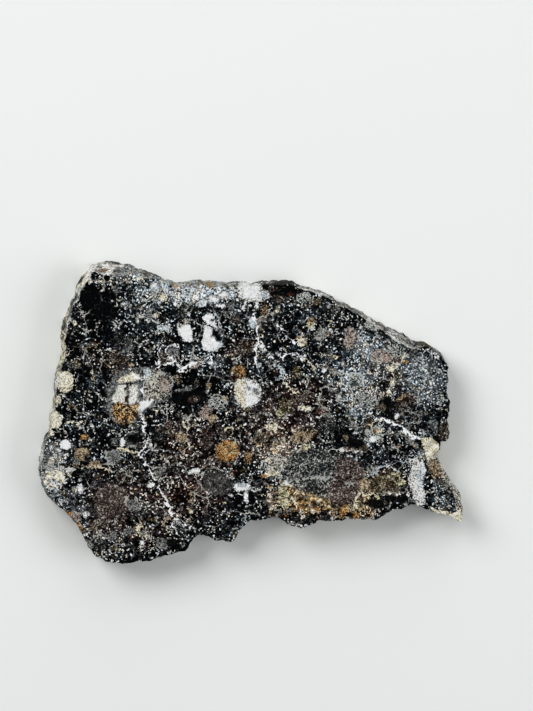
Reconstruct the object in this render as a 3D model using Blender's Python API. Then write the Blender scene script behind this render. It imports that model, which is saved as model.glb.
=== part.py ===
# A sawn slice of a brecciated meteorite, lying on its back face.
# Two flat sawn faces are joined by a natural, weathered rim. +X runs along the slice, +Y across
# it and +Z up out of the display face. The origin is the middle of the slice's base.

import math

import bmesh
import bpy
from mathutils import Vector, noise

NODE_NAME = "meteorite_slice"
MM = 0.001

# Driving dimensions, in millimetres
THICKNESS = 6.0  # between the two sawn faces
EDGE_SPACING = 1.05  # the longest side along the rim
EDGE_CRUMBLE = 0.14  # how far a broken edge wanders between the outline's points
RIM_LUMP = 0.6  # how far the lumps of the rim stand out or fall back
RIM_LUMP_SIZE = 3.2  # from one lump to the next
RIM_NEIGHBOURS = 3  # points either side that a point's way out is read from
RIM_LEVELS = (0.0, 0.13, 0.32, 0.52, 0.72, 0.89, 1.0)  # shares of the thickness, back to front
CHIP_ROUGHNESS = 0.16  # unevenness of a chip, as a share of its size
CHIP_LUMP_SIZE = 0.9  # from one lump of a chip to the next, in half lengths
CHIP_SUBDIVISIONS = 3
CHIP_LIFT = 0.13  # how far a chip's middle stands out of the face, as a share of its depth
NOISE_PLACE = Vector((17.3, 4.1, 29.6))  # where the pattern of lumps is read
NOISE_DECAY = 0.9  # how fast finer lumps get lower
NOISE_STEP = 2.1  # how much finer each layer of lumps is
NOISE_LAYERS = 3

# Outline of the display face, clockwise from its upper left corner: x, y, and how far the rim
# stands out beyond that edge by the time it reaches the back face.
UPPER_LEFT_LOBE = (
    (-28.8, 26.2, 0.2),
    (-27.2, 25.7, 1.1),
    (-25.3, 25.3, 1.6),
    (-23.7, 25.3, 0.9),
    (-22.1, 25.9, 0.1),
)
TOP_EDGE = (
    (-20.5, 25.0, 0.0),
    (-18.6, 24.8, 0.0),
    (-17.2, 24.6, 0.0),
    (-16.1, 24.0, 0.1),
    (-14.8, 23.8, 0.1),
    (-13.4, 23.5, 0.0),
    (-12.3, 23.4, 0.0),
    (-9.5, 23.5, 0.3),
    (-5.9, 23.4, 0.2),
    (-4.5, 23.2, 0.1),
    (-2.3, 23.5, 0.2),
    (-0.3, 23.3, 0.0),
    (0.8, 23.2, 0.0),
    (1.9, 23.5, 0.0),
    (4.3, 23.8, 0.0),
    (6.1, 23.8, 0.0),
    (7.4, 23.6, 0.0),
)
UPPER_RIGHT_SLOPE = (
    (9.0, 22.6, 0.1),
    (10.8, 22.2, 0.1),
    (13.0, 21.6, 0.2),
    (14.6, 20.5, 0.2),
    (15.5, 19.7, 0.2),
    (17.0, 19.4, 0.2),
    (18.2, 18.5, 0.3),
    (19.2, 18.0, 0.3),
    (20.1, 17.3, 0.5),
    (21.4, 16.4, 0.5),
    (22.6, 15.6, 0.6),
    (23.7, 15.1, 0.7),
    (24.8, 14.2, 1.0),
    (25.7, 13.3, 1.4),
    (27.2, 12.5, 1.5),
    (28.8, 11.9, 1.3),
    (30.1, 12.0, 0.3),
    (31.4, 12.2, 0.1),
    (32.5, 12.0, 0.0),
    (33.4, 11.1, 0.2),
    (34.5, 10.3, 0.2),
)
RIGHT_EDGE = (
    (34.7, 9.5, 0.2),
    (35.5, 8.7, 0.1),
    (35.4, 7.1, 0.0),
    (35.5, 5.7, -0.1),
    (35.2, 4.8, 0.1),
    (35.4, 3.1, 0.2),
    (35.9, 2.2, 0.0),
    (35.8, 0.7, -0.2),
    (35.5, -0.3, -0.1),
    (35.4, -1.4, 0.1),
    (35.6, -3.7, 0.0),
    (35.2, -5.2, -0.2),
)
NOTCH = (
    (34.3, -5.3, 0.1),
    (34.1, -6.5, 0.2),
    (33.5, -7.9, 0.3),
    (34.3, -9.1, 0.2),
)
CORNER_FRAGMENT = (
    (35.4, -11.5, 0.1),
    (37.0, -13.8, 0.1),
    (37.8, -14.9, 0.0),
    (38.3, -17.8, -0.2),
    (38.3, -19.8, -0.6),
    (38.0, -20.1, -0.7),
    (36.5, -19.0, -0.2),
    (34.2, -18.4, 0.0),
    (31.9, -17.6, 0.1),
    (30.1, -16.8, 0.1),
)
LOWER_EDGE = (
    (29.0, -16.7, 0.0),
    (27.0, -17.4, -0.1),
    (25.5, -17.9, 0.0),
    (24.3, -18.5, 0.1),
    (22.6, -19.3, 0.0),
    (20.6, -19.3, -0.2),
    (17.3, -19.2, -0.1),
    (16.1, -19.6, 0.0),
    (13.9, -19.5, 0.1),
    (12.1, -19.5, 0.0),
    (11.4, -20.1, -0.1),
    (9.4, -21.0, -0.3),
    (8.6, -21.0, -0.3),
    (7.8, -20.5, -0.1),
    (6.6, -20.2, 0.0),
    (5.1, -18.9, 0.1),
    (3.7, -18.9, 0.1),
    (1.9, -19.2, 0.0),
    (-0.5, -19.4, -0.1),
    (-1.2, -20.3, 0.0),
    (-2.2, -21.0, 0.1),
    (-2.7, -21.6, 0.0),
    (-3.1, -22.8, -0.1),
    (-3.9, -23.3, -0.2),
    (-6.5, -23.1, 0.0),
    (-8.5, -22.2, 0.1),
    (-9.7, -22.2, 0.1),
    (-10.6, -22.5, 0.1),
    (-11.3, -23.6, 0.0),
    (-11.8, -24.7, -0.1),
    (-13.7, -25.3, 0.0),
    (-16.9, -26.2, 0.1),
    (-18.5, -26.7, 0.0),
    (-21.0, -26.7, -0.1),
    (-23.2, -27.2, -0.2),
    (-26.5, -26.6, 0.0),
    (-27.9, -25.9, 0.0),
)
LEFT_EDGE = (
    (-29.5, -24.1, 0.0),
    (-30.9, -21.3, 0.1),
    (-32.1, -18.9, 0.3),
    (-33.4, -17.7, 0.5),
    (-35.2, -16.2, 0.5),
    (-36.7, -14.5, 0.5),
    (-37.6, -13.0, 0.4),
    (-38.0, -11.6, 0.2),
    (-38.2, -8.9, 0.0),
    (-37.7, -6.4, 0.1),
    (-37.4, -4.9, 0.1),
    (-36.6, -3.3, 0.0),
    (-36.3, -1.3, 0.1),
    (-35.8, 1.5, 0.1),
    (-35.5, 2.7, 0.1),
    (-35.5, 4.7, 0.2),
    (-34.8, 7.4, 0.2),
    (-34.5, 8.9, 0.2),
    (-34.1, 10.4, 0.3),
    (-33.9, 11.8, 0.5),
    (-33.7, 15.5, 0.7),
    (-33.2, 17.3, 0.5),
    (-32.7, 18.9, 0.2),
    (-32.6, 20.0, 0.1),
    (-31.4, 21.5, 0.5),
    (-31.0, 22.9, 0.5),
    (-30.0, 24.4, 0.6),
    (-29.2, 25.9, 0.2),
)
OUTLINE = (
    UPPER_LEFT_LOBE
    + TOP_EDGE
    + UPPER_RIGHT_SLOPE
    + RIGHT_EDGE
    + NOTCH
    + CORNER_FRAGMENT
    + LOWER_EDGE
    + LEFT_EDGE
)

# Chips and plucked pits: x, y, half length, half width, depth, and turn of the length from +X
# in degrees.
DISPLAY_CHIPS = {
    "rough top": (-13.9, 23.3, 6.4, 3.2, 0.55, -6),
    "top by the lobe": (-21.0, 25.6, 2.6, 1.2, 0.4, 10),
    "notch floor": (34.3, -9.4, 2.3, 2.6, 1.3, 0),
    "notch strip": (32.6, -6.4, 0.9, 1.9, 0.6, -35),
    "corner bevel": (37.1, -13.2, 5.2, 1.1, 0.9, -62),
    "lower bay": (4.4, -19.0, 2.2, 0.9, 0.8, 0),
    "small lower bay": (-9.2, -22.4, 2.0, 0.9, 0.7, 0),
    "right slope": (26.6, 13.2, 3.4, 0.8, 0.7, -27),
    "left rim": (-33.9, 14.0, 0.7, 2.6, 0.5, 0),
    "dark wedge": (-7.0, 14.6, 1.5, 0.55, 0.35, 70),
    "clast crack": (-22.8, 4.0, 0.45, 1.9, 0.4, -8),
    "pit by the corner": (29.8, -11.2, 0.8, 0.5, 0.4, 80),
    "pit in the middle": (-0.9, -14.4, 0.8, 0.6, 0.4, 15),
    "lower edge pit": (17.2, -17.3, 0.8, 0.5, 0.4, 0),
}
BACK_CHIPS = {
    "back left": (-35.6, 2.0, 1.1, 2.8, 0.8, 5),
    "back top": (9.0, 22.6, 3.0, 0.9, 0.6, -15),
    "back low": (-12.6, -24.9, 2.2, 0.9, 0.6, -20),
    "back pit": (12.4, 3.1, 0.9, 0.7, 0.4, 30),
}

# Sawn stone, not polished: black matrix, with a satin sheen
STONE_COLOUR = (0.035, 0.034, 0.036, 1.0)
STONE_ROUGHNESS = 0.55


def clear_scene():
    for obj in list(bpy.data.objects):
        bpy.data.objects.remove(obj, do_unlink=True)


def uneven(x, y, z, size):
    """Fractal noise of about -1 to 1 at a point, with lumps of the given size."""
    place = Vector((x, y, z)) / size + NOISE_PLACE
    return noise.fractal(place, NOISE_DECAY, NOISE_STEP, NOISE_LAYERS)


def rim_points():
    """The display face's edge, closely spaced: (x, y, flare) with a crumbled run between points."""
    points = []
    for (x0, y0, flare0), (x1, y1, flare1) in zip(OUTLINE, OUTLINE[1:] + OUTLINE[:1]):
        length = math.hypot(x1 - x0, y1 - y0)
        steps = max(1, math.ceil(length / EDGE_SPACING))
        for step in range(steps):
            share = step / steps
            x = x0 + (x1 - x0) * share
            y = y0 + (y1 - y0) * share
            crumble = EDGE_CRUMBLE * uneven(x, y, 0.0, EDGE_SPACING) if step else 0.0
            points.append(
                (
                    x - crumble * (y1 - y0) / length,
                    y + crumble * (x1 - x0) / length,
                    flare0 + (flare1 - flare0) * share,
                )
            )
    return points


def outward_directions(points):
    """For each point of a clockwise loop, the way out, from the points a few places either side."""
    count = len(points)
    directions = []
    for i in range(count):
        before = points[(i - RIM_NEIGHBOURS) % count]
        after = points[(i + RIM_NEIGHBOURS) % count]
        along = Vector((after[0] - before[0], after[1] - before[1])).normalized()
        directions.append(Vector((-along.y, along.x)))
    return directions


def rim_ring(bm, points, outward, level):
    """One loop of the rim at a share of the thickness, with lumps that fade out at both faces."""
    height = THICKNESS * level
    fade = math.sqrt(4.0 * level * (1.0 - level))
    ring = []
    for (x, y, flare), out in zip(points, outward):
        stand = flare * (1.0 - level) + RIM_LUMP * fade * uneven(x, y, height, RIM_LUMP_SIZE)
        ring.append(bm.verts.new(((x + out.x * stand) * MM, (y + out.y * stand) * MM, height * MM)))
    return ring


def sawn_slab():
    """The closed body before it is chipped: rings of the rim between two flat caps."""
    points = rim_points()
    outward = outward_directions(points)
    bm = bmesh.new()
    rings = [rim_ring(bm, points, outward, level) for level in RIM_LEVELS]
    for lower, upper in zip(rings, rings[1:]):
        for i in range(len(lower)):
            j = (i + 1) % len(lower)
            bm.faces.new((lower[i], upper[i], upper[j], lower[j]))
    bm.faces.new(rings[0])
    bm.faces.new(reversed(rings[-1]))
    bmesh.ops.recalc_face_normals(bm, faces=bm.faces[:])
    bmesh.ops.triangulate(bm, faces=bm.faces[:])
    mesh = bpy.data.meshes.new(NODE_NAME)
    bm.to_mesh(mesh)
    bm.free()
    slab = bpy.data.objects.new(NODE_NAME, mesh)
    bpy.context.collection.objects.link(slab)
    return slab


def chip_cutter(name, chip, height, out):
    """A squashed, lumpy ball with its middle near a sawn face, and its inner half is the chip.

    out is 1 where the face looks up and -1 where it looks down.
    """
    x, y, half_length, half_width, depth, turn = chip
    bm = bmesh.new()
    bmesh.ops.create_icosphere(bm, subdivisions=CHIP_SUBDIVISIONS, radius=1.0)
    cos_turn = math.cos(math.radians(turn))
    sin_turn = math.sin(math.radians(turn))
    for vert in bm.verts:
        place = (vert.co.x + x, vert.co.y + y, vert.co.z)
        lump = 1.0 + CHIP_ROUGHNESS * uneven(*place, CHIP_LUMP_SIZE)
        along = vert.co.x * half_length * lump
        across = vert.co.y * half_width * lump
        vert.co = (
            (x + along * cos_turn - across * sin_turn) * MM,
            (y + along * sin_turn + across * cos_turn) * MM,
            (height + out * depth * (vert.co.z * out * lump + CHIP_LIFT)) * MM,
        )
    mesh = bpy.data.meshes.new("chip " + name)
    bm.to_mesh(mesh)
    bm.free()
    cutter = bpy.data.objects.new("chip " + name, mesh)
    bpy.context.collection.objects.link(cutter)
    cutter.hide_render = True
    cutter.hide_set(True)
    cutter.display_type = "WIRE"
    return cutter


def break_chips(slab):
    """Takes each chip and pit out of the slab."""
    for chips, height, out in ((DISPLAY_CHIPS, THICKNESS, 1), (BACK_CHIPS, 0.0, -1)):
        for name, chip in chips.items():
            cut = slab.modifiers.new("chip " + name, "BOOLEAN")
            cut.operation = "DIFFERENCE"
            cut.solver = "EXACT"
            cut.object = chip_cutter(name, chip, height, out)


def apply_chips(slab):
    """Makes the chipped shape the slab's own mesh and removes the cutters."""
    graph = bpy.context.evaluated_depsgraph_get()
    chipped = bpy.data.meshes.new_from_object(slab.evaluated_get(graph))
    slab.modifiers.clear()
    slab.data = chipped
    for obj in [o for o in bpy.data.objects if o is not slab]:
        bpy.data.objects.remove(obj, do_unlink=True)


def centre_on_base(slab):
    """Moves the mesh so that the origin is the middle of the box's base."""
    xs = [vert.co.x for vert in slab.data.vertices]
    ys = [vert.co.y for vert in slab.data.vertices]
    middle = Vector(((min(xs) + max(xs)) / 2, (min(ys) + max(ys)) / 2, 0.0))
    for vert in slab.data.vertices:
        vert.co -= middle


def stone_material():
    """Sawn breccia: dark, with a satin sheen."""
    material = bpy.data.materials.new("sawn_breccia")
    material.use_nodes = True
    shader = material.node_tree.nodes["Principled BSDF"]
    shader.inputs["Base Color"].default_value = STONE_COLOUR
    shader.inputs["Roughness"].default_value = STONE_ROUGHNESS
    shader.inputs["Metallic"].default_value = 0.0
    return material


def main():
    clear_scene()
    slab = sawn_slab()
    break_chips(slab)
    apply_chips(slab)
    centre_on_base(slab)
    slab.data.name = NODE_NAME
    slab.data.materials.clear()
    slab.data.materials.append(stone_material())


main()
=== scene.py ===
import math

import bpy
import numpy as np
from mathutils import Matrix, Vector


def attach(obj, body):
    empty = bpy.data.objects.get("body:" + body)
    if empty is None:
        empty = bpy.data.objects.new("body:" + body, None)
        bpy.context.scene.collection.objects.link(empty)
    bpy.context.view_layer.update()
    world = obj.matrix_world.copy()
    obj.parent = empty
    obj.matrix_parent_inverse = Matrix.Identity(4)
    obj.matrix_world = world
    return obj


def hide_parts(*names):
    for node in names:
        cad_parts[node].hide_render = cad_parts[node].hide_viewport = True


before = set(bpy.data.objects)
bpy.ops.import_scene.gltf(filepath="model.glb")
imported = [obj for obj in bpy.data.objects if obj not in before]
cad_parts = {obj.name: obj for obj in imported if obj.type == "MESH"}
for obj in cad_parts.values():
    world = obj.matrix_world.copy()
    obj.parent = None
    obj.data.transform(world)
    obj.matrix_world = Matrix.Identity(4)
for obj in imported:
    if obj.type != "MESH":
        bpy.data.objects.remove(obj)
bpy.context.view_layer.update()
mm = 0.001  # metres in a millimetre

# Seeds of the noises, and of the fragments strewn at random
seeds = {
    "crumble": (3, 4), "rimLump": 7, "rimCrumb": 8, "displayFace": 20, "backFace": 40,
    "pattern": (51, 52), "crust": (61, 62), "display": 31, "pale": 32, "back": 12,
}

# The body of the slice

sliceShape = {
    "thickness": 6.0,  # between the two sawn faces
    "cellsAlong": 310,  # grid cells of the display face along the slice
    "cellsAcross": 180,  # and across it
    "rimRows": 22,  # rows of cells down the rim
    "relaxRounds": 40,  # how often the face's grid is evened out
    "wayOut": 12,  # points either side that a point's way out of the edge is read from
    "crumble": (0.14, 0.11),  # how far a broken edge wanders, coarse and fine
    "crumbleSize": (1.05, 0.42),  # from one crumb of the edge to the next
    "crumbleGain": 1.6,  # what that noise is multiplied by, since it seldom comes near 1
    "rimLump": 0.6,  # how far the rim's lumps stand out or fall back
    "rimLumpSize": 3.2,  # from one lump to the next
    "rimCrumb": 0.16,  # the same for the crumbs on the lumps
    "rimCrumbSize": 0.75,
    "backInset": 0.3,  # from the back face's edge to its coarser grid
    "plucked": 0.05,  # depth of the grains plucked out of a sawn face
    "pluckedSize": 0.8,
    "pluckedFrom": (0.35, 0.75),  # the noise at which a hollow starts and is whole
    "chipLift": 0.13,  # how far the middle of a chip's ball stands out of the face, in depths
    "chipLump": 0.16,  # how lumpy a chip's outline is
    "chipLumpSize": 1.1,
    "brokenAt": 0.12,  # depth at which a chip's floor is fully rough
    "brokenRelief": 0.17,  # height of that roughness
    "brokenSize": 0.9,
    "sharpAngle": 48,  # degrees past which an edge is shaded as sharp
}

# The display face's edge, clockwise from the upper left corner, in four sides that each start at
# a corner: x, y, and how far the rim stands out beyond that edge at the back face.
outlineSides = {
    "top": (
        (-28.8, 26.2, 0.4), (-27.2, 25.7, 1.6), (-25.3, 25.3, 2.1), (-23.7, 25.3, 1.6),
        (-22.1, 25.9, 0.9), (-20.5, 25.0, 1.0), (-18.6, 24.8, 0.5), (-17.2, 24.6, 0.1),
        (-16.1, 24.0, 0.1), (-14.8, 23.8, 0.1), (-13.4, 23.5, 0.0), (-12.3, 23.4, 0.0),
        (-9.5, 23.5, 0.3), (-5.9, 23.4, 0.2), (-4.5, 23.2, 0.1), (-2.3, 23.5, 0.2),
        (-0.3, 23.3, 0.0), (0.8, 23.2, 0.0), (1.9, 23.5, 0.0), (4.3, 23.8, 0.0),
        (6.1, 23.8, 0.0), (7.4, 23.6, 0.0), (9.0, 22.6, 0.1), (10.8, 22.2, 0.1),
        (13.0, 21.6, 0.2), (14.6, 20.5, 0.2), (15.5, 19.7, 0.2), (17.0, 19.4, 0.2),
        (18.2, 18.5, 0.3), (19.2, 18.0, 0.3), (20.1, 17.3, 0.5), (21.4, 16.4, 0.5),
        (22.6, 15.6, 0.6), (23.7, 15.1, 0.7), (24.8, 14.2, 1.0), (25.7, 13.3, 1.4),
        (27.2, 12.5, 1.5), (28.8, 11.9, 1.3), (30.1, 12.0, 0.3), (31.4, 12.2, 0.1),
        (32.5, 12.0, 0.0), (33.4, 11.1, 0.2),
    ),
    "right": (
        (34.5, 10.3, 0.2), (34.7, 9.5, 0.2), (35.5, 8.7, 0.1), (35.4, 7.1, 0.0),
        (35.5, 5.7, -0.1), (35.2, 4.8, 0.1), (35.4, 3.1, 0.2), (35.9, 2.2, 0.0),
        (35.8, 0.7, -0.2), (35.5, -0.3, -0.1), (35.4, -1.4, 0.1), (35.6, -3.7, 0.0),
        (35.2, -5.2, -0.2), (34.3, -5.3, 0.1), (34.1, -6.5, 0.2), (33.5, -7.9, 0.3),
        (34.3, -9.1, 0.2), (35.4, -11.5, 0.1), (37.0, -13.8, 0.1), (37.8, -14.9, 0.0),
        (38.3, -17.8, -0.2), (38.3, -19.8, -0.6),
    ),
    "bottom": (
        (38.0, -20.1, -0.7), (36.5, -19.0, -0.2), (34.2, -18.4, 0.0), (31.9, -17.6, 0.1),
        (30.1, -16.8, 0.1), (29.0, -16.7, 0.0), (27.0, -17.4, -0.1), (25.5, -17.9, 0.0),
        (24.3, -18.5, 0.1), (22.6, -19.3, 0.0), (20.6, -19.3, -0.2), (17.3, -19.2, -0.1),
        (16.1, -19.6, 0.0), (13.9, -19.5, 0.1), (12.1, -19.5, 0.0), (11.4, -20.1, -0.1),
        (9.4, -21.0, -0.3), (8.6, -21.0, -0.3), (7.8, -20.5, -0.1), (6.6, -20.2, 0.0),
        (5.1, -18.9, 0.1), (3.7, -18.9, 0.1), (1.9, -19.2, 0.0), (-0.5, -19.4, -0.1),
        (-1.2, -20.3, 0.0), (-2.2, -21.0, 0.1), (-2.7, -21.6, 0.0), (-3.1, -22.8, -0.1),
        (-3.9, -23.3, -0.2), (-6.5, -23.1, 0.0), (-8.5, -22.2, 0.1), (-9.7, -22.2, 0.1),
        (-10.6, -22.5, 0.1), (-11.3, -23.6, 0.0), (-11.8, -24.7, -0.1), (-13.7, -25.3, 0.0),
        (-16.9, -26.2, 0.1), (-18.5, -26.7, 0.0), (-21.0, -26.7, -0.1), (-23.2, -27.2, -0.2),
        (-26.5, -26.6, 0.0), (-27.9, -25.9, 0.0), (-29.5, -24.1, 0.0), (-30.9, -21.3, 0.1),
        (-32.1, -18.9, 0.3), (-33.4, -17.7, 0.5),
    ),
    "left": (
        (-35.2, -16.2, 0.5), (-36.7, -14.5, 0.5), (-37.6, -13.0, 0.4), (-38.0, -11.6, 0.2),
        (-38.2, -8.9, 0.0), (-37.7, -6.4, 0.1), (-37.4, -4.9, 0.1), (-36.6, -3.3, 0.0),
        (-36.3, -1.3, 0.1), (-35.8, 1.5, 0.1), (-35.5, 2.7, 0.1), (-35.5, 4.7, 0.2),
        (-34.8, 7.4, 0.2), (-34.5, 8.9, 0.2), (-34.1, 10.4, 0.3), (-33.9, 11.8, 0.5),
        (-33.7, 15.5, 0.7), (-33.2, 17.3, 0.5), (-32.7, 18.9, 0.2), (-32.6, 20.0, 0.1),
        (-31.4, 21.5, 0.5), (-31.0, 22.9, 0.5), (-30.0, 24.4, 0.6), (-29.2, 25.9, 0.2),
    ),
}

# Chips and plucked pits: x, y, half length, half width, depth, turn of the length from +X
displayChips = {
    "rough top": (-13.9, 23.3, 6.4, 3.2, 0.55, -6),
    "top by the lobe": (-21.0, 25.6, 2.6, 1.2, 0.4, 10),
    "notch floor": (34.3, -9.4, 2.3, 2.6, 1.3, 0),
    "notch strip": (32.6, -6.4, 0.9, 1.9, 0.6, -35),
    "corner bevel": (37.1, -13.2, 5.2, 1.1, 0.9, -62),
    "lower bay": (4.4, -19.0, 2.2, 0.9, 0.8, 0),
    "small lower bay": (-9.2, -22.4, 2.0, 0.9, 0.7, 0),
    "right slope": (26.6, 13.2, 3.4, 0.8, 0.7, -27),
    "left rim": (-33.9, 14.0, 0.7, 2.6, 0.5, 0),
    "dark wedge": (-7.0, 14.6, 1.5, 0.55, 0.35, 70),
    "clast crack": (-22.8, 4.0, 0.45, 1.9, 0.4, -8),
    "pit by the corner": (29.8, -11.2, 0.8, 0.5, 0.4, 80),
    "pit in the middle": (-0.9, -14.4, 0.8, 0.6, 0.4, 15),
    "lower edge pit": (17.2, -17.3, 0.8, 0.5, 0.4, 0),
}
backChips = {
    "back left": (-35.6, 2.0, 1.1, 2.8, 0.8, 5),
    "back top": (9.0, 22.6, 3.0, 0.9, 0.6, -15),
    "back low": (-12.6, -24.9, 2.2, 0.9, 0.6, -20),
    "back pit": (12.4, 3.1, 0.9, 0.7, 0.4, 30),
}

# The hash behind the noise: large odd numbers that scatter x, y and z, the seed and the result
hashing = {
    "places": (374761393, 668265263, 1440662683), "seed": 974634777, "stir": 1274126177,
    "bits": 0xFFFFFFFF,
}
noiseLayer = {"shift": 11.7, "finer": 2.1, "lower": 0.55}  # each layer of it against the last


# A step from 0 at low to 1 at high that starts and ends level.
def smoothStep(low, high, value):
    share = np.clip((value - low) / (high - low), 0.0, 1.0)
    return share * share * (3.0 - 2.0 * share)


# Value noise of -1 to 1: a hashed number at each corner of a lattice with the given cell size,
# blended across the cell by smooth steps. Each further layer is finer and lower.
def latticeNoise(x, y, z, size, seed, layers=1):
    total = np.zeros(np.broadcast(x, y, z).shape)
    height, reach = 1.0, 0.0
    for layer in range(layers):
        place = np.stack(np.broadcast_arrays(x, y, z)) / size + noiseLayer["shift"] * layer
        corner = np.floor(place).astype(np.int64)
        share = smoothStep(0.0, 1.0, place - corner)
        for step in np.ndindex(2, 2, 2):
            mixed = seed * hashing["seed"]
            weight = np.ones_like(total)
            for axis, scatter in enumerate(hashing["places"]):
                mixed = mixed + (corner[axis] + step[axis]) * scatter
                weight = weight * (share[axis] if step[axis] else 1.0 - share[axis])
            mixed = mixed & hashing["bits"]
            mixed = ((mixed ^ (mixed >> 13)) * hashing["stir"]) & hashing["bits"]
            mixed = mixed ^ (mixed >> 16)
            total += height * weight * (mixed / 2**31 - 1.0)
        reach += height
        height *= noiseLayer["lower"]
        size /= noiseLayer["finer"]
    return total / reach


# Where points lie along and across an ellipse that is turned from +X, in its half widths.
def ellipsePlace(x, y, middleX, middleY, halfLength, halfWidth, turn=0):
    cosTurn, sinTurn = math.cos(math.radians(turn)), math.sin(math.radians(turn))
    along = ((x - middleX) * cosTurn + (y - middleY) * sinTurn) / halfLength
    across = ((y - middleY) * cosTurn - (x - middleX) * sinTurn) / halfWidth
    return along, across


# The closed loop round the display face: each side is resampled at even steps along its length,
# and the points then wander along the way out by two sizes of noise.
def edgeLoop(shape):
    names = list(outlineSides)
    pieces = []
    for name, following in zip(names, names[1:] + names[:1]):
        side = np.array(outlineSides[name] + outlineSides[following][:1])
        travelled = np.concatenate([[0.0], np.cumsum(np.hypot(*np.diff(side[:, :2], axis=0).T))])
        cells = shape["cellsAlong"] if name in ("top", "bottom") else shape["cellsAcross"]
        steps = np.linspace(0.0, travelled[-1], cells + 1)[:-1]
        pieces.append(np.stack([np.interp(steps, travelled, column) for column in side.T], 1))
    loop = np.concatenate(pieces)
    reach = shape["wayOut"]
    along = np.roll(loop[:, :2], -reach, 0) - np.roll(loop[:, :2], reach, 0)
    along /= np.hypot(along[:, 0], along[:, 1])[:, None]
    out = np.stack([-along[:, 1], along[:, 0]], 1)
    for amount, size, seed in zip(shape["crumble"], shape["crumbleSize"], seeds["crumble"]):
        noise = latticeNoise(loop[:, 0], loop[:, 1], 0.0, size, seed, 2)
        loop[:, :2] += out * (amount * shape["crumbleGain"] * noise)[:, None]
    return loop, out


# A four-sided patch: the sum of the two blends between opposite sides less the blend of the four
# corners. Each inner point then moves to the mean of its neighbours a number of times.
def patchFromLoop(loop, along, across, rounds):
    top = loop[: along + 1]
    right = loop[along : along + across + 1][::-1]
    bottom = loop[along + across : 2 * along + across + 1][::-1]
    left = np.concatenate([loop[2 * along + across :], loop[:1]])
    u = np.linspace(0.0, 1.0, along + 1)[None, :, None]
    v = np.linspace(0.0, 1.0, across + 1)[:, None, None]
    grid = (1 - v) * bottom[None] + v * top[None] + (1 - u) * left[:, None] + u * right[:, None]
    grid -= (1 - u) * (1 - v) * bottom[0] + u * (1 - v) * bottom[-1]
    grid -= (1 - u) * v * top[0] + u * v * top[-1]
    for _ in range(rounds):
        grid[1:-1, 1:-1] = (grid[:-2, 1:-1] + grid[2:, 1:-1] + grid[1:-1, :-2] + grid[1:-1, 2:]) / 4
    return grid


# The numbers of a patch's edge points in the loop's order: along the top, down the right side,
# back along the bottom and up the left side.
def patchEdge(along, across):
    number = np.arange((across + 1) * (along + 1)).reshape(across + 1, along + 1)
    return np.concatenate([number[-1, :-1], number[:0:-1, -1], number[0, :0:-1], number[:-1, 0]])


# The quads between the neighbours in a grid of point numbers.
def gridQuads(number):
    corners = [number[:-1, :-1], number[:-1, 1:], number[1:, 1:], number[1:, :-1]]
    return np.stack(corners, -1).reshape(-1, 4)


# The depth of the chips at each point: inside a chip's ellipse it is the depth of a squashed,
# lumpy ball whose middle stands a little out of the face. Where chips overlap, the deepest wins.
def chipDepth(shape, chips, x, y, seed):
    depth = np.zeros_like(x)
    lump = 1.0 + shape["chipLump"] * latticeNoise(x, y, 0.0, shape["chipLumpSize"], seed, 3)
    for chipX, chipY, halfLength, halfWidth, deep, turn in chips.values():
        away = np.hypot(*ellipsePlace(x, y, chipX, chipY, halfLength, halfWidth, turn)) / lump
        ball = deep * (np.sqrt(np.clip(1.0 - away * away, 0.0, None)) - shape["chipLift"])
        depth = np.maximum(depth, ball)
    return depth


# How far a sawn face lies below its plane: the chips with a rough floor, and shallow hollows
# where single grains were plucked out by the saw.
def faceDepth(shape, chips, x, y, seed):
    chipped = chipDepth(shape, chips, x, y, seed)
    broken = smoothStep(0.0, shape["brokenAt"], chipped)
    rough = latticeNoise(x, y, 0.0, shape["brokenSize"], seed + 1, 4)
    plucking = latticeNoise(x, y, 0.0, shape["pluckedSize"], seed + 2, 2)
    depth = chipped + broken * shape["brokenRelief"] * rough
    depth = depth + (1.0 - broken) * shape["plucked"] * smoothStep(*shape["pluckedFrom"], plucking)
    return np.maximum(depth, 0.0), broken


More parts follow.
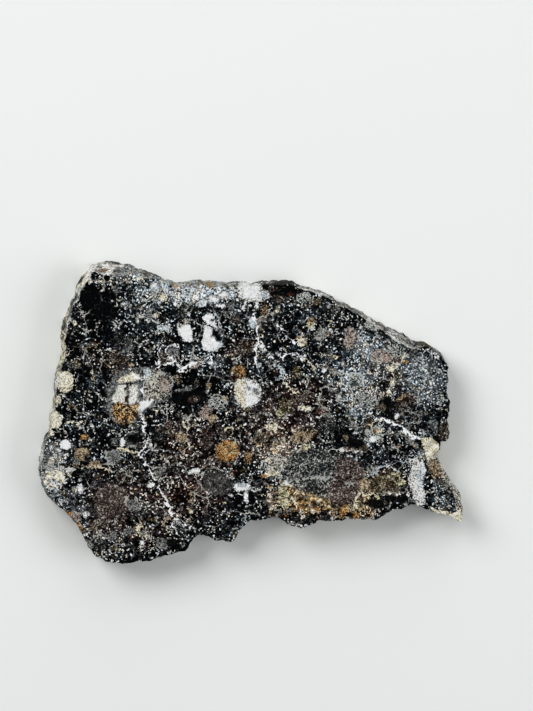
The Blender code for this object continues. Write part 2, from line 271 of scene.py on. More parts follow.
# The whole mesh: the display face's patch, the rim's rows down from its edge, and the back's
# coarser patch, zipped to the last row by triangles.
def buildSlice(shape):
    along, across, rows = shape["cellsAlong"], shape["cellsAcross"], shape["rimRows"]
    thick = shape["thickness"]
    loop, out = edgeLoop(shape)
    face = patchFromLoop(loop[:, :2], along, across, shape["relaxRounds"]).reshape(-1, 2)
    edge = patchEdge(along, across)
    depth, faceBroken = faceDepth(shape, displayChips, face[:, 0], face[:, 1], seeds["displayFace"])
    faceZ = thick - depth

    # The rim: each row stands out by its share of the flare, and by lumps and crumbs that fade
    # out at both faces. Its height is a share of the height of the edge above it.
    level = 1.0 - np.arange(1, rows + 1)[:, None] / rows
    edgeX, edgeY, flare = loop.T[:, None]
    height = thick * level * np.ones_like(edgeX)
    fade = np.sqrt(4.0 * level * (1.0 - level))
    lump = latticeNoise(edgeX, edgeY, height, shape["rimLumpSize"], seeds["rimLump"], 3)
    crumb = latticeNoise(edgeX, edgeY, height, shape["rimCrumbSize"], seeds["rimCrumb"], 3)
    stand = flare * (1.0 - level) + fade * (shape["rimLump"] * lump + shape["rimCrumb"] * crumb)
    rimX = edgeX + out[:, 0][None] * stand
    rimY = edgeY + out[:, 1][None] * stand
    rimZ = level * faceZ[edge][None]

    # The back: the rim's last row is its edge, and a coarser patch lies inside that.
    inner = loop[::2, :2] + out[::2] * (flare.T[::2] - shape["backInset"])
    back = patchFromLoop(inner, along // 2, across // 2, shape["relaxRounds"]).reshape(-1, 2)
    backDepth, backBroken = faceDepth(shape, backChips, back[:, 0], back[:, 1], seeds["backFace"])

    # Numbers of the points, and the faces between them
    firstBack = len(face) + rimX.size
    faceNumber = np.arange(len(face)).reshape(across + 1, along + 1)
    rimNumber = np.concatenate([edge[None], np.arange(len(face), firstBack).reshape(rows, -1)])
    backNumber = firstBack + np.arange(len(back)).reshape(across // 2 + 1, along // 2 + 1)
    faceQuads = gridQuads(faceNumber)
    rimQuads = gridQuads(np.concatenate([rimNumber, rimNumber[:, :1]], 1))
    backQuads = gridQuads(backNumber)[:, [0, 3, 2, 1]]  # turned over, to face down
    fine = rimNumber[-1]
    nextFine = np.roll(fine, -2)
    coarse = firstBack + patchEdge(along // 2, across // 2)
    nextCoarse = np.roll(coarse, -1)
    zips = ((fine[::2], fine[1::2], coarse), (fine[1::2], nextCoarse, coarse),
            (fine[1::2], nextFine[::2], nextCoarse))
    zipFaces = np.concatenate([np.stack(corners, -1) for corners in zips])
    faceCounts = (len(faceQuads), len(rimQuads), len(backQuads) + len(zipFaces))
    return {
        "x": np.concatenate([face[:, 0], rimX.ravel(), back[:, 0]]),
        "y": np.concatenate([face[:, 1], rimY.ravel(), back[:, 1]]),
        "z": np.concatenate([faceZ, rimZ.ravel(), backDepth]),
        "broken": np.concatenate([faceBroken, np.ones(rimX.size), backBroken]),
        "quads": np.concatenate([faceQuads, rimQuads, backQuads]),
        "triangles": zipFaces,
        "onRim": np.repeat([0, 1, 0], faceCounts).astype(np.int32),
    }


built = buildSlice(sliceShape)
print("slice: points", len(built["x"]), "triangles",
      2 * len(built["quads"]) + len(built["triangles"]))

# Colours

# The linear value of an sRGB hex colour, channel by channel.
def linearColour(hexColour):
    channels = [int(hexColour[place : place + 2], 16) / 255.0 for place in (1, 3, 5)]
    return [c / 12.92 if c <= 0.04045 else ((c + 0.055) / 1.055) ** 2.4 for c in channels]


# Kinds of fragment: sRGB colour at its middle, how strongly grain shades it, and how much of the
# matrix it covers
clastKinds = {
    "white": ("#F8FAFB", 0.06, 1.0),  # enstatite, milky and nearly clean
    "snow": ("#CAD5DC", 0.14, 0.85),  # enstatite with a blue cast
    "cream": ("#E8DCBE", 0.18, 0.95),  # enstatite stained by weathering
    "chalk": ("#EBE9E2", 0.32, 0.95),
    "pale": ("#AAACA6", 0.42, 0.42),  # crushed enstatite
    "grey": ("#767A7A", 0.36, 0.4),
    "tan": ("#9C886B", 0.32, 0.65),
    "rose": ("#A59186", 0.34, 0.55),
    "orange": ("#9A6E38", 0.30, 0.85),
    "ochre": ("#6E5534", 0.42, 0.8),
    "rust": ("#4A2818", 0.34, 0.75),
    "lemon": ("#B8B08C", 0.30, 0.85),
    "olive": ("#3B3117", 0.38, 0.85),
    "brown": ("#2B1F17", 0.36, 0.75),
    "mauve": ("#3E3432", 0.30, 0.7),
    "slate": ("#2F3537", 0.40, 0.55),
    "dusk": ("#2B2F30", 0.46, 0.85),  # fine-grained and evenly dark
    "plum": ("#433834", 0.33, 0.88),  # the same, with a little rust
    "coal": ("#121518", 0.30, 0.85),
    "black": ("#030405", 0.14, 0.98),
    "mottled": ("#8A877B", 0.62, 0.9),  # crystals with black glass between them
    "salted": ("#838986", 0.60, 0.78),  # the same, without a stain
    "slab": ("#3D3C3B", 0.24, 0.92),  # too fine-grained for its crystals to show
    "plates": ("#E2DFD5", 0.12, 1.0),  # large cleaved crystals
    "golden": ("#AE8044", 0.52, 0.9),  # the same, soaked with rust
}

# Fragments on the display face: kind, x, y, half length, half width, and the turn of the length
# from +X where there is one. A later one lies over an earlier one.
displayClasts = (
    # upper left
    ("cream", -29.5, 24.4, 0.42, 0.42), ("cream", -27.6, 24.3, 0.42, 0.38),
    ("black", -29.4, 21.3, 1.9, 2.1, 20), ("black", -26.9, 18.8, 2.2, 1.7, -30),
    ("grey", -24.6, 23.0, 0.75, 0.6), ("cream", -16.3, 21.4, 0.7, 0.55),
    ("snow", -17.5, 23.0, 0.8, 0.5), ("orange", -14.0, 23.7, 0.5, 0.45),
    ("orange", -7.9, 23.7, 0.6, 0.5), ("snow", -9.2, 20.3, 1.0, 0.5, 20),
    ("white", -7.2, 21.1, 0.9, 0.5, -15), ("white", -5.5, 21.9, 0.8, 0.5, 20),
    ("snow", -10.8, 22.7, 0.7, 0.5), ("white", -6.4, 19.9, 0.5, 0.3),
    ("white", -12.6, 21.6, 0.4, 0.3), ("pale", -18.3, 18.6, 1.0, 0.8),
    ("cream", -17.6, 18.2, 0.45, 0.4), ("snow", -16.2, 15.9, 1.3, 0.5, -10),
    ("white", -26.2, 12.0, 0.55, 0.24), ("cream", -32.3, 16.9, 0.35, 0.5, 60),
    ("olive", -31.8, 9.5, 0.62, 0.8), ("cream", -34.0, 6.2, 1.55, 1.95, 10),
    ("grey", -22.9, 11.9, 1.0, 0.6, 30), ("tan", -22.0, 9.3, 0.5, 0.4),
    ("grey", -14.7, 11.7, 1.3, 0.9, -15), ("brown", -16.1, 10.5, 1.1, 1.2),
    ("rust", -14.9, 10.3, 0.5, 0.7, 20), ("brown", -24.4, 10.4, 2.4, 1.0, -20),
    ("olive", -28.9, 7.0, 0.5, 0.35), ("tan", -24.9, 6.6, 0.5, 0.45),
    # white blobs near the top
    ("black", 4.8, 22.6, 3.4, 1.1, -8), ("rust", 6.6, 21.8, 0.5, 0.3),
    ("brown", 3.4, 23.0, 0.8, 0.5), ("brown", 1.6, 19.6, 0.7, 1.2), ("snow", 0.0, 16.7, 0.8, 0.95),
    ("grey", -4.8, 18.5, 0.55, 0.5), ("grey", -5.9, 15.3, 0.5, 0.6),
    ("brown", -1.4, 12.6, 1.4, 1.2, 20), ("rust", -1.2, 12.4, 0.4, 0.35),
    ("ochre", 2.2, 19.0, 0.5, 1.0, -10),
    # upper right
    ("lemon", 10.4, 16.4, 0.75, 0.85, -20), ("ochre", 10.5, 17.2, 0.6, 0.4),
    ("snow", 10.9, 15.6, 0.4, 0.35), ("tan", 8.4, 13.9, 0.55, 0.55),
    ("cream", 9.0, 13.2, 0.7, 0.65, 30), ("coal", 9.0, 13.2, 0.28, 0.28),
    ("grey", 4.2, 16.0, 0.8, 0.4, -50), ("cream", 4.2, 18.8, 0.35, 0.35),
    ("salted", 9.4, 21.4, 1.0, 0.8), ("grey", 13.8, 10.0, 0.8, 0.6, -20),
    ("olive", 11.4, 20.4, 0.9, 0.8), ("rose", 23.5, 10.6, 1.9, 1.0, -25),
    ("cream", 24.9, 8.3, 0.8, 0.6, 10), ("cream", 25.3, 5.9, 0.45, 0.7, -15),
    ("cream", 24.8, 4.0, 0.4, 0.35), ("white", 21.9, 2.9, 0.7, 0.55, 20),
    ("rose", 17.6, 13.8, 1.1, 1.9, -10), ("salted", 21.5, 16.0, 1.4, 0.7, -30),
    ("salted", 26.2, 11.5, 2.2, 0.9, -20), ("orange", 27.8, 9.5, 0.5, 0.28),
    ("ochre", 27.2, 2.9, 1.2, 0.55, 42), ("brown", 28.0, 1.9, 2.0, 1.0, 35),
    ("olive", 23.6, 1.1, 0.65, 0.65), ("white", 32.2, 3.9, 0.45, 0.28, 10),
    ("salted", 34.2, 2.6, 0.7, 0.8), ("salted", 30.3, 2.1, 0.55, 0.75),
    ("grey", 32.8, -2.0, 0.9, 0.9), ("cream", 11.1, 8.3, 0.35, 0.3), ("white", 12.9, 8.0, 0.4, 0.4),
    ("salted", 18.6, 6.0, 1.3, 1.4), ("coal", 18.5, 5.4, 0.7, 0.55),
    ("salted", 20.6, 2.4, 2.1, 1.1, -10), ("salted", 16.0, 2.9, 0.9, 0.9),
    ("rust", 26.0, 9.9, 0.4, 0.3),
    # middle
    ("black", 4.1, 7.5, 0.85, 1.25), ("brown", 4.2, 7.9, 0.5, 0.5), ("black", -2.7, 7.5, 1.7, 1.75),
    ("ochre", -2.7, 7.5, 1.35, 1.45), ("orange", -2.3, 8.0, 0.6, 0.8, 20),
    ("rust", -3.3, 6.9, 0.5, 0.6), ("brown", -3.7, 6.9, 0.55, 0.8), ("snow", 1.2, 9.1, 0.5, 0.4),
    ("black", -11.5, 3.2, 3.3, 1.5, 8), ("brown", -10.7, 2.9, 1.0, 0.6),
    ("tan", -7.9, 5.4, 0.55, 0.4), ("salted", -6.4, 2.1, 1.65, 1.05, -8),
    ("tan", -5.1, 3.0, 0.55, 0.5), ("white", -11.0, 9.5, 0.5, 0.4), ("olive", 5.8, 1.6, 1.3, 1.4),
    ("lemon", 4.9, 0.3, 0.5, 0.6), ("cream", 9.5, 1.1, 1.2, 0.5, -5),
    ("brown", 9.4, 3.3, 1.6, 1.1, 10), ("rust", 12.4, 0.5, 0.8, 0.5, 20),
    ("pale", 13.3, -0.2, 0.7, 0.4, -10), ("cream", 3.2, -2.2, 0.75, 0.45, -20),
    ("brown", 1.5, -4.3, 0.85, 0.8), ("tan", 9.0, -4.2, 1.9, 1.1, 10),
    ("tan", 11.3, -3.2, 0.7, 0.4, -20), ("brown", 12.0, -3.6, 0.5, 0.4),
    # the frayed orange-tan grain and its neighbours
    ("ochre", -0.8, -7.8, 0.75, 1.2, -15), ("orange", -0.9, -8.0, 0.35, 0.5),
    ("white", -10.6, -10.3, 1.35, 0.5, 8), ("grey", -16.7, -10.4, 0.95, 0.8, -20),
    ("white", -1.9, -13.3, 1.5, 0.75), ("snow", -1.8, -12.9, 0.8, 0.4),
    ("white", -1.1, -15.3, 0.4, 1.1, 10), ("white", -3.7, -14.9, 0.35, 0.3),
    ("rust", -6.0, -15.8, 0.55, 0.3, 10), ("tan", -11.2, -15.5, 0.35, 0.5),
    ("lemon", -11.1, -17.7, 0.4, 0.3),
    # lower left
    ("white", -33.8, -5.3, 1.0, 0.9), ("cream", -33.4, -1.1, 0.45, 0.2, 20),
    ("cream", -32.6, -1.1, 0.35, 0.2), ("cream", -31.0, -1.1, 0.6, 0.2, 5),
    ("white", -29.1, -1.7, 0.35, 0.35), ("cream", -35.3, 2.9, 0.6, 0.8),
    ("cream", -35.7, -0.7, 1.0, 1.5), ("cream", -36.4, -3.1, 0.45, 0.45),
    ("tan", -30.8, -7.0, 1.3, 1.2), ("coal", -29.9, -7.7, 0.7, 0.7),
    ("orange", -30.4, -3.9, 0.65, 0.45), ("tan", -28.5, -9.0, 1.1, 0.7, 8),
    ("grey", -25.2, -7.4, 1.2, 1.05), ("white", -23.6, -4.9, 0.55, 0.7),
    ("grey", -25.0, -4.6, 0.6, 0.5), ("black", -21.5, -4.2, 1.4, 0.9),
    ("cream", -35.0, -11.1, 1.0, 1.0), ("cream", -36.9, -10.8, 0.7, 0.8),
    ("pale", -37.0, -9.0, 1.1, 0.9), ("cream", -37.6, -12.1, 0.4, 0.5),
    ("white", -31.2, -13.2, 0.55, 0.9, 15), ("brown", -23.3, -11.2, 1.6, 1.2),
    ("grey", -21.7, -16.3, 1.0, 1.0), ("white", -30.3, -18.1, 0.35, 0.5),
    ("orange", -33.3, -17.9, 0.5, 0.5), ("orange", -31.3, -20.3, 0.4, 1.0, 20),
    ("brown", -28.0, -19.9, 1.8, 1.0), ("olive", -18.2, -19.1, 0.95, 0.45, -20),
    ("olive", -20.0, -19.5, 0.45, 0.4), ("pale", -19.5, -21.7, 0.85, 0.7),
    ("grey", -22.2, -21.1, 1.1, 0.7, 10), ("white", -20.0, -23.4, 0.45, 0.35),
    ("olive", -25.0, -24.3, 0.95, 0.55, -10), ("coal", -27.9, -23.6, 1.2, 1.2),
    ("pale", -29.4, -23.6, 0.55, 0.7, 20), ("white", -18.4, -12.8, 0.7, 0.55),
    ("coal", -16.8, -3.3, 1.4, 1.2), ("brown", -16.6, -2.7, 0.9, 0.6),
    # lower right
    ("lemon", 5.7, -14.9, 0.85, 2.5, 8), ("white", 6.2, -12.6, 0.6, 0.5),
    ("mottled", 4.3, -9.1, 2.1, 1.2, 20), ("cream", 2.9, -8.4, 0.6, 0.4, 30),
    ("cream", 3.4, -10.9, 1.6, 0.45, 12), ("orange", 2.1, -11.3, 0.7, 0.35),
    ("lemon", 9.8, -6.1, 0.65, 0.65), ("white", 17.6, -7.9, 0.75, 0.35, -15),
    ("white", 16.2, -6.6, 0.4, 0.4), ("tan", 20.4, -12.9, 0.9, 1.2),
    ("pale", 21.7, -10.1, 0.9, 0.7), ("olive", 24.2, -12.6, 2.4, 1.6, 5),
    ("brown", 25.0, -13.6, 1.0, 0.6), ("lemon", 26.2, -11.1, 0.7, 0.45, -20),
    ("lemon", 27.2, -12.6, 0.6, 0.45), ("lemon", 22.7, -15.1, 0.45, 0.5),
    ("orange", 16.9, -16.9, 0.5, 0.45), ("orange", 19.2, -18.7, 0.25, 0.45),
    ("orange", 11.7, -17.4, 0.45, 0.35), ("salted", 22.3, -3.9, 1.5, 1.3),
    ("cream", 23.0, -3.2, 0.9, 0.45, 20), ("white", 22.0, -4.6, 0.6, 0.55),
    ("orange", 22.3, -3.2, 0.35, 0.25), ("pale", 24.8, -3.4, 0.35, 0.55),
    ("tan", 17.1, -4.2, 0.45, 0.4), ("black", 26.4, -15.6, 2.2, 0.7),
    ("coal", 14.6, -2.3, 1.2, 0.7, -20), ("white", 26.2, -0.6, 0.45, 0.35, 60),
    ("black", 8.8, -15.6, 0.55, 0.35, 30), ("coal", 11.5, -16.4, 0.8, 0.4, -20),
    ("black", 7.6, -18.5, 0.6, 0.5), ("black", 9.9, -16.9, 0.6, 0.3, 40),
    ("black", 13.1, -18.1, 0.9, 0.45, 10), ("black", 17.9, -18.5, 0.8, 0.35, -10),
    ("black", 22.4, -16.4, 1.5, 0.8), ("black", 14.9, -17.0, 0.5, 0.3),
    ("coal", 12.4, -15.2, 0.5, 0.25, -30), ("coal", 2.3, 16.3, 1.0, 0.9),
)

# Fragments with a shape of their own: kind and corner points
shapedClasts = (
    ("orange", ((-6.6, -6.0), (-5.7, -4.9), (-4.3, -4.6), (-3.0, -5.3), (-2.3, -6.7), (-3.0, -8.2),
        (-4.5, -8.5), (-5.7, -8.7), (-6.3, -7.5))),
    ("slab", ((-9.0, -11.5), (-7.9, -10.2), (-5.9, -10.2), (-4.1, -11.3), (-3.2, -12.9),
        (-4.1, -14.5), (-6.8, -14.9), (-8.6, -13.6))),
    ("dusk", ((5.5, -10.2), (6.8, -7.8), (9.4, -6.5), (13.2, -6.5), (16.6, -7.3), (19.0, -9.1),
        (19.7, -11.6), (18.3, -14.0), (15.2, -15.5), (11.9, -15.1), (8.6, -14.0), (6.3, -12.4))),
    ("plum", ((15.2, -8.0), (17.7, -7.8), (19.9, -8.9), (20.3, -11.3), (19.2, -13.1), (19.9, -15.1),
        (18.1, -16.5), (15.5, -16.9), (13.5, -15.8), (14.3, -12.9), (14.8, -10.2))),
    ("plum", ((-29.0, -15.3), (-28.1, -13.5), (-26.3, -12.5), (-23.9, -12.7), (-22.5, -14.2),
        (-22.3, -16.5), (-23.4, -18.5), (-25.5, -19.3), (-27.5, -18.5), (-28.8, -17.1))),
    ("grey", ((-26.4, 4.8), (-25.4, 7.0), (-23.0, 8.6), (-19.6, 8.8), (-16.9, 8.2), (-15.2, 7.2),
        (-14.6, 5.4), (-15.1, 3.6), (-16.6, 2.4), (-19.4, 1.0), (-21.0, -1.2), (-24.2, -1.7),
        (-25.9, -0.6), (-26.4, 1.8))),
    ("mottled", ((-19.5, 8.4), (-16.9, 8.0), (-15.2, 6.9), (-14.8, 5.3), (-15.4, 3.6), (-16.8, 2.6),
        (-19.4, 2.6), (-19.8, 5.6))),
    ("rose", ((-16.7, 6.9), (-15.4, 6.4), (-15.1, 4.8), (-15.9, 3.9), (-16.8, 4.4))),
    ("cream", ((-24.6, 6.5), (-22.9, 7.4), (-21.8, 8.2), (-20.2, 7.0), (-20.8, 6.4), (-22.6, 6.2),
        (-24.2, 6.0))),
    ("snow", ((-19.8, 8.4), (-18.3, 8.5), (-18.1, 7.2), (-19.3, 6.9))),
    ("plates", ((-24.4, 5.6), (-22.9, 5.7), (-22.8, 2.2), (-24.6, 1.8), (-25.5, 2.7),
        (-25.0, 3.9))),
    ("plates", ((-22.4, 5.7), (-21.0, 5.7), (-20.7, 4.4), (-20.9, 2.4), (-22.4, 2.1))),
    ("ochre", ((-25.5, 1.8), (-24.1, 2.4), (-22.6, 1.8), (-20.8, 2.2), (-20.5, 1.1), (-21.0, -0.4),
        (-22.1, -1.4), (-23.5, -1.8), (-24.8, -1.3), (-25.7, 0.2))),
    ("golden", ((-25.1, 1.8), (-24.1, 2.2), (-22.9, 1.8), (-23.0, 0.5), (-23.7, -0.9),
        (-24.7, -0.5), (-25.3, 0.7))),
    ("golden", ((-22.5, 1.8), (-21.0, 2.0), (-20.8, 1.1), (-21.5, 0.0), (-22.5, -1.1),
        (-22.7, 0.4))),
    ("white", ((-20.4, 2.5), (-19.4, 2.8), (-17.9, 2.9), (-18.9, 1.6), (-20.0, 0.6), (-20.6, 1.2))),
    ("white", ((-13.6, 17.0), (-12.7, 16.9), (-11.6, 16.5), (-11.0, 15.2), (-11.0, 13.9),
        (-11.4, 13.3), (-12.4, 13.6), (-13.5, 14.7), (-13.8, 15.8))),
    ("grey", ((-13.4, 17.4), (-12.3, 17.3), (-11.5, 16.5), (-12.4, 16.4), (-13.4, 16.7))),
    ("mottled", ((-13.3, 17.4), (-11.9, 17.5), (-11.3, 16.8), (-12.1, 16.4), (-12.7, 16.0),
        (-13.3, 15.8))),
    ("white", ((-9.2, 17.8), (-8.6, 18.5), (-7.5, 18.5), (-7.0, 17.6), (-6.7, 16.5), (-6.3, 15.5),
        (-7.6, 16.2), (-8.9, 17.2))),
    ("white", ((-8.9, 16.7), (-7.4, 15.8), (-7.6, 14.3), (-6.1, 13.3), (-5.6, 12.6), (-6.9, 11.8),
        (-8.0, 11.4), (-9.2, 12.2), (-9.4, 13.2), (-9.0, 14.4))),
    ("black", ((-7.4, 15.7), (-6.3, 15.0), (-5.8, 13.6), (-6.4, 13.4), (-7.4, 14.3))),
    ("coal", ((-7.9, 17.5), (-7.0, 17.5), (-7.1, 16.9), (-7.7, 16.9))),
    ("chalk", ((-3.0, 22.7), (-2.3, 24.0), (-1.2, 24.7), (0.5, 24.6), (1.4, 23.8), (1.7, 22.7),
        (2.8, 22.2), (3.0, 21.3), (1.9, 20.7), (1.0, 20.7), (0.3, 20.2), (-0.6, 20.7), (-1.7, 20.5),
        (-2.6, 21.5))),
    ("white", ((-1.9, 22.9), (-1.5, 24.1), (-0.6, 24.5), (0.5, 24.4), (1.0, 23.6), (1.0, 22.5),
        (0.5, 21.6), (-0.5, 21.1), (-1.5, 21.5))),
    ("snow", ((1.4, 22.4), (2.1, 22.5), (2.8, 21.9), (2.5, 21.1), (1.5, 21.1))),
    ("coal", ((-2.3, 21.1), (-1.5, 21.3), (-1.4, 20.6), (-2.1, 20.5))),
    ("white", ((0.3, 20.7), (0.9, 20.7), (0.8, 19.6), (0.5, 18.9), (0.3, 19.8))),
    ("chalk", ((-3.4, 5.5), (-2.8, 6.4), (-1.7, 6.7), (-0.5, 6.4), (0.8, 6.0), (1.5, 4.9),
        (1.5, 3.1), (0.6, 2.0), (-0.6, 1.4), (-2.1, 1.5), (-3.0, 2.5), (-3.5, 4.0))),
    ("cream", ((-3.4, 5.5), (-2.8, 6.4), (-1.7, 6.6), (-1.4, 5.6), (-1.9, 4.7), (-1.7, 3.5),
        (-1.2, 2.2), (-1.7, 1.5), (-2.6, 2.2), (-3.2, 3.3), (-3.5, 4.4))),
    ("white", ((-1.2, 5.3), (-0.3, 5.8), (0.8, 5.5), (1.2, 4.5), (0.8, 3.8), (-0.3, 4.2),
        (-1.0, 4.4))),
    ("white", ((-1.4, 3.5), (-0.5, 3.6), (0.8, 3.3), (1.0, 2.5), (-0.1, 1.6), (-1.2, 1.6))),
    ("grey", ((0.1, 5.1), (1.0, 4.7), (1.2, 3.6), (0.6, 3.5), (0.1, 4.2))),
    ("coal", ((-1.2, 5.0), (-0.3, 5.1), (-0.1, 4.5), (-1.0, 4.5))),
    ("tan", ((-8.6, -0.1), (-7.6, 0.3), (-6.6, 0.0), (-6.3, -0.8), (-7.2, -1.3), (-7.4, -2.2),
        (-8.1, -1.3))),
    ("black", ((16.1, -3.2), (16.8, -3.0), (18.9, -5.2), (17.9, -5.9), (16.1, -3.8))),
    ("tan", ((16.5, -3.9), (17.3, -3.9), (17.4, -4.8), (16.8, -4.7))),
    ("pale", ((11.0, 15.1), (12.4, 15.2), (13.5, 15.4), (12.3, 13.3), (11.4, 13.4))),
    ("mottled", ((33.4, -8.0), (34.3, -8.7), (36.3, -12.0), (38.1, -14.9), (38.3, -17.5),
        (37.2, -17.6), (37.2, -15.5), (35.4, -12.5), (33.5, -9.8))),
    ("chalk", ((28.6, -8.3), (29.8, -8.1), (31.3, -8.6), (31.5, -10.6), (31.0, -12.8),
        (31.5, -14.2), (31.4, -16.8), (29.9, -17.2), (29.3, -15.2), (28.4, -12.6), (28.7, -10.4))),
    ("snow", ((30.6, -9.4), (31.3, -9.6), (31.0, -13.6), (30.2, -14.2), (30.0, -11.4))),
    ("cream", ((30.6, -4.3), (32.4, -4.6), (33.9, -5.6), (33.8, -7.0), (33.3, -8.5), (32.0, -8.9),
        (31.2, -6.4))),
    ("ochre", ((31.8, -8.6), (33.2, -8.4), (34.8, -10.6), (34.6, -11.8), (33.0, -11.7),
        (32.2, -10.2))),
    ("brown", ((33.4, -11.6), (36.0, -12.9), (36.2, -14.0), (34.8, -13.4), (33.2, -12.4))),
    ("cream", ((32.0, -17.2), (34.2, -17.9), (37.0, -18.4), (38.0, -17.3), (38.6, -20.4),
        (37.6, -19.9), (34.2, -18.8))),
    ("brown", ((34.2, -2.2), (36.2, -1.8), (36.2, -5.6), (34.4, -5.4), (33.8, -4.2))),
)

# Small fragments strewn under the ones above, and all of those on the back face: where (middle and
# half size), how many, the smallest and largest half length, and the kinds they are drawn from
displayStrewn = (
    ((0, 0), (38, 27), 260, (0.35, 1.5),
     "grey slate slate olive brown brown coal coal coal black black mauve rose"),
    ((-8, -8), (14, 12), 80, (0.3, 1.0), "rust rust brown mauve mauve coal olive tan"),
    ((12, -15.5), (9, 3.5), 130, (0.25, 0.8),
     "ochre orange golden golden lemon cream coal black brown tan"),
    ((24, 4), (10, 12), 60, (0.3, 1.1), "grey slate slate olive coal pale coal"),
)
paleStrewn = (  # the only ones that may lie in the pale and the fine-grained zones
    # Along the rough broken top, the first row's white and coal bits are partly its grain and
    # partly painted light and shade of its relief.
    ((-12, 22), (12, 3), 60, (0.25, 0.7), "pale chalk snow white white coal coal coal"),
    ((-35, -8), (3, 10), 26, (0.3, 0.8), "cream chalk grey coal olive"),
)
backStrewn = (
    ((0, 0), (37, 26), 150, (0.35, 3.6),
     "white snow cream cream pale pale grey grey tan orange ochre olive brown brown mauve slate "
     "coal coal black black"),
)

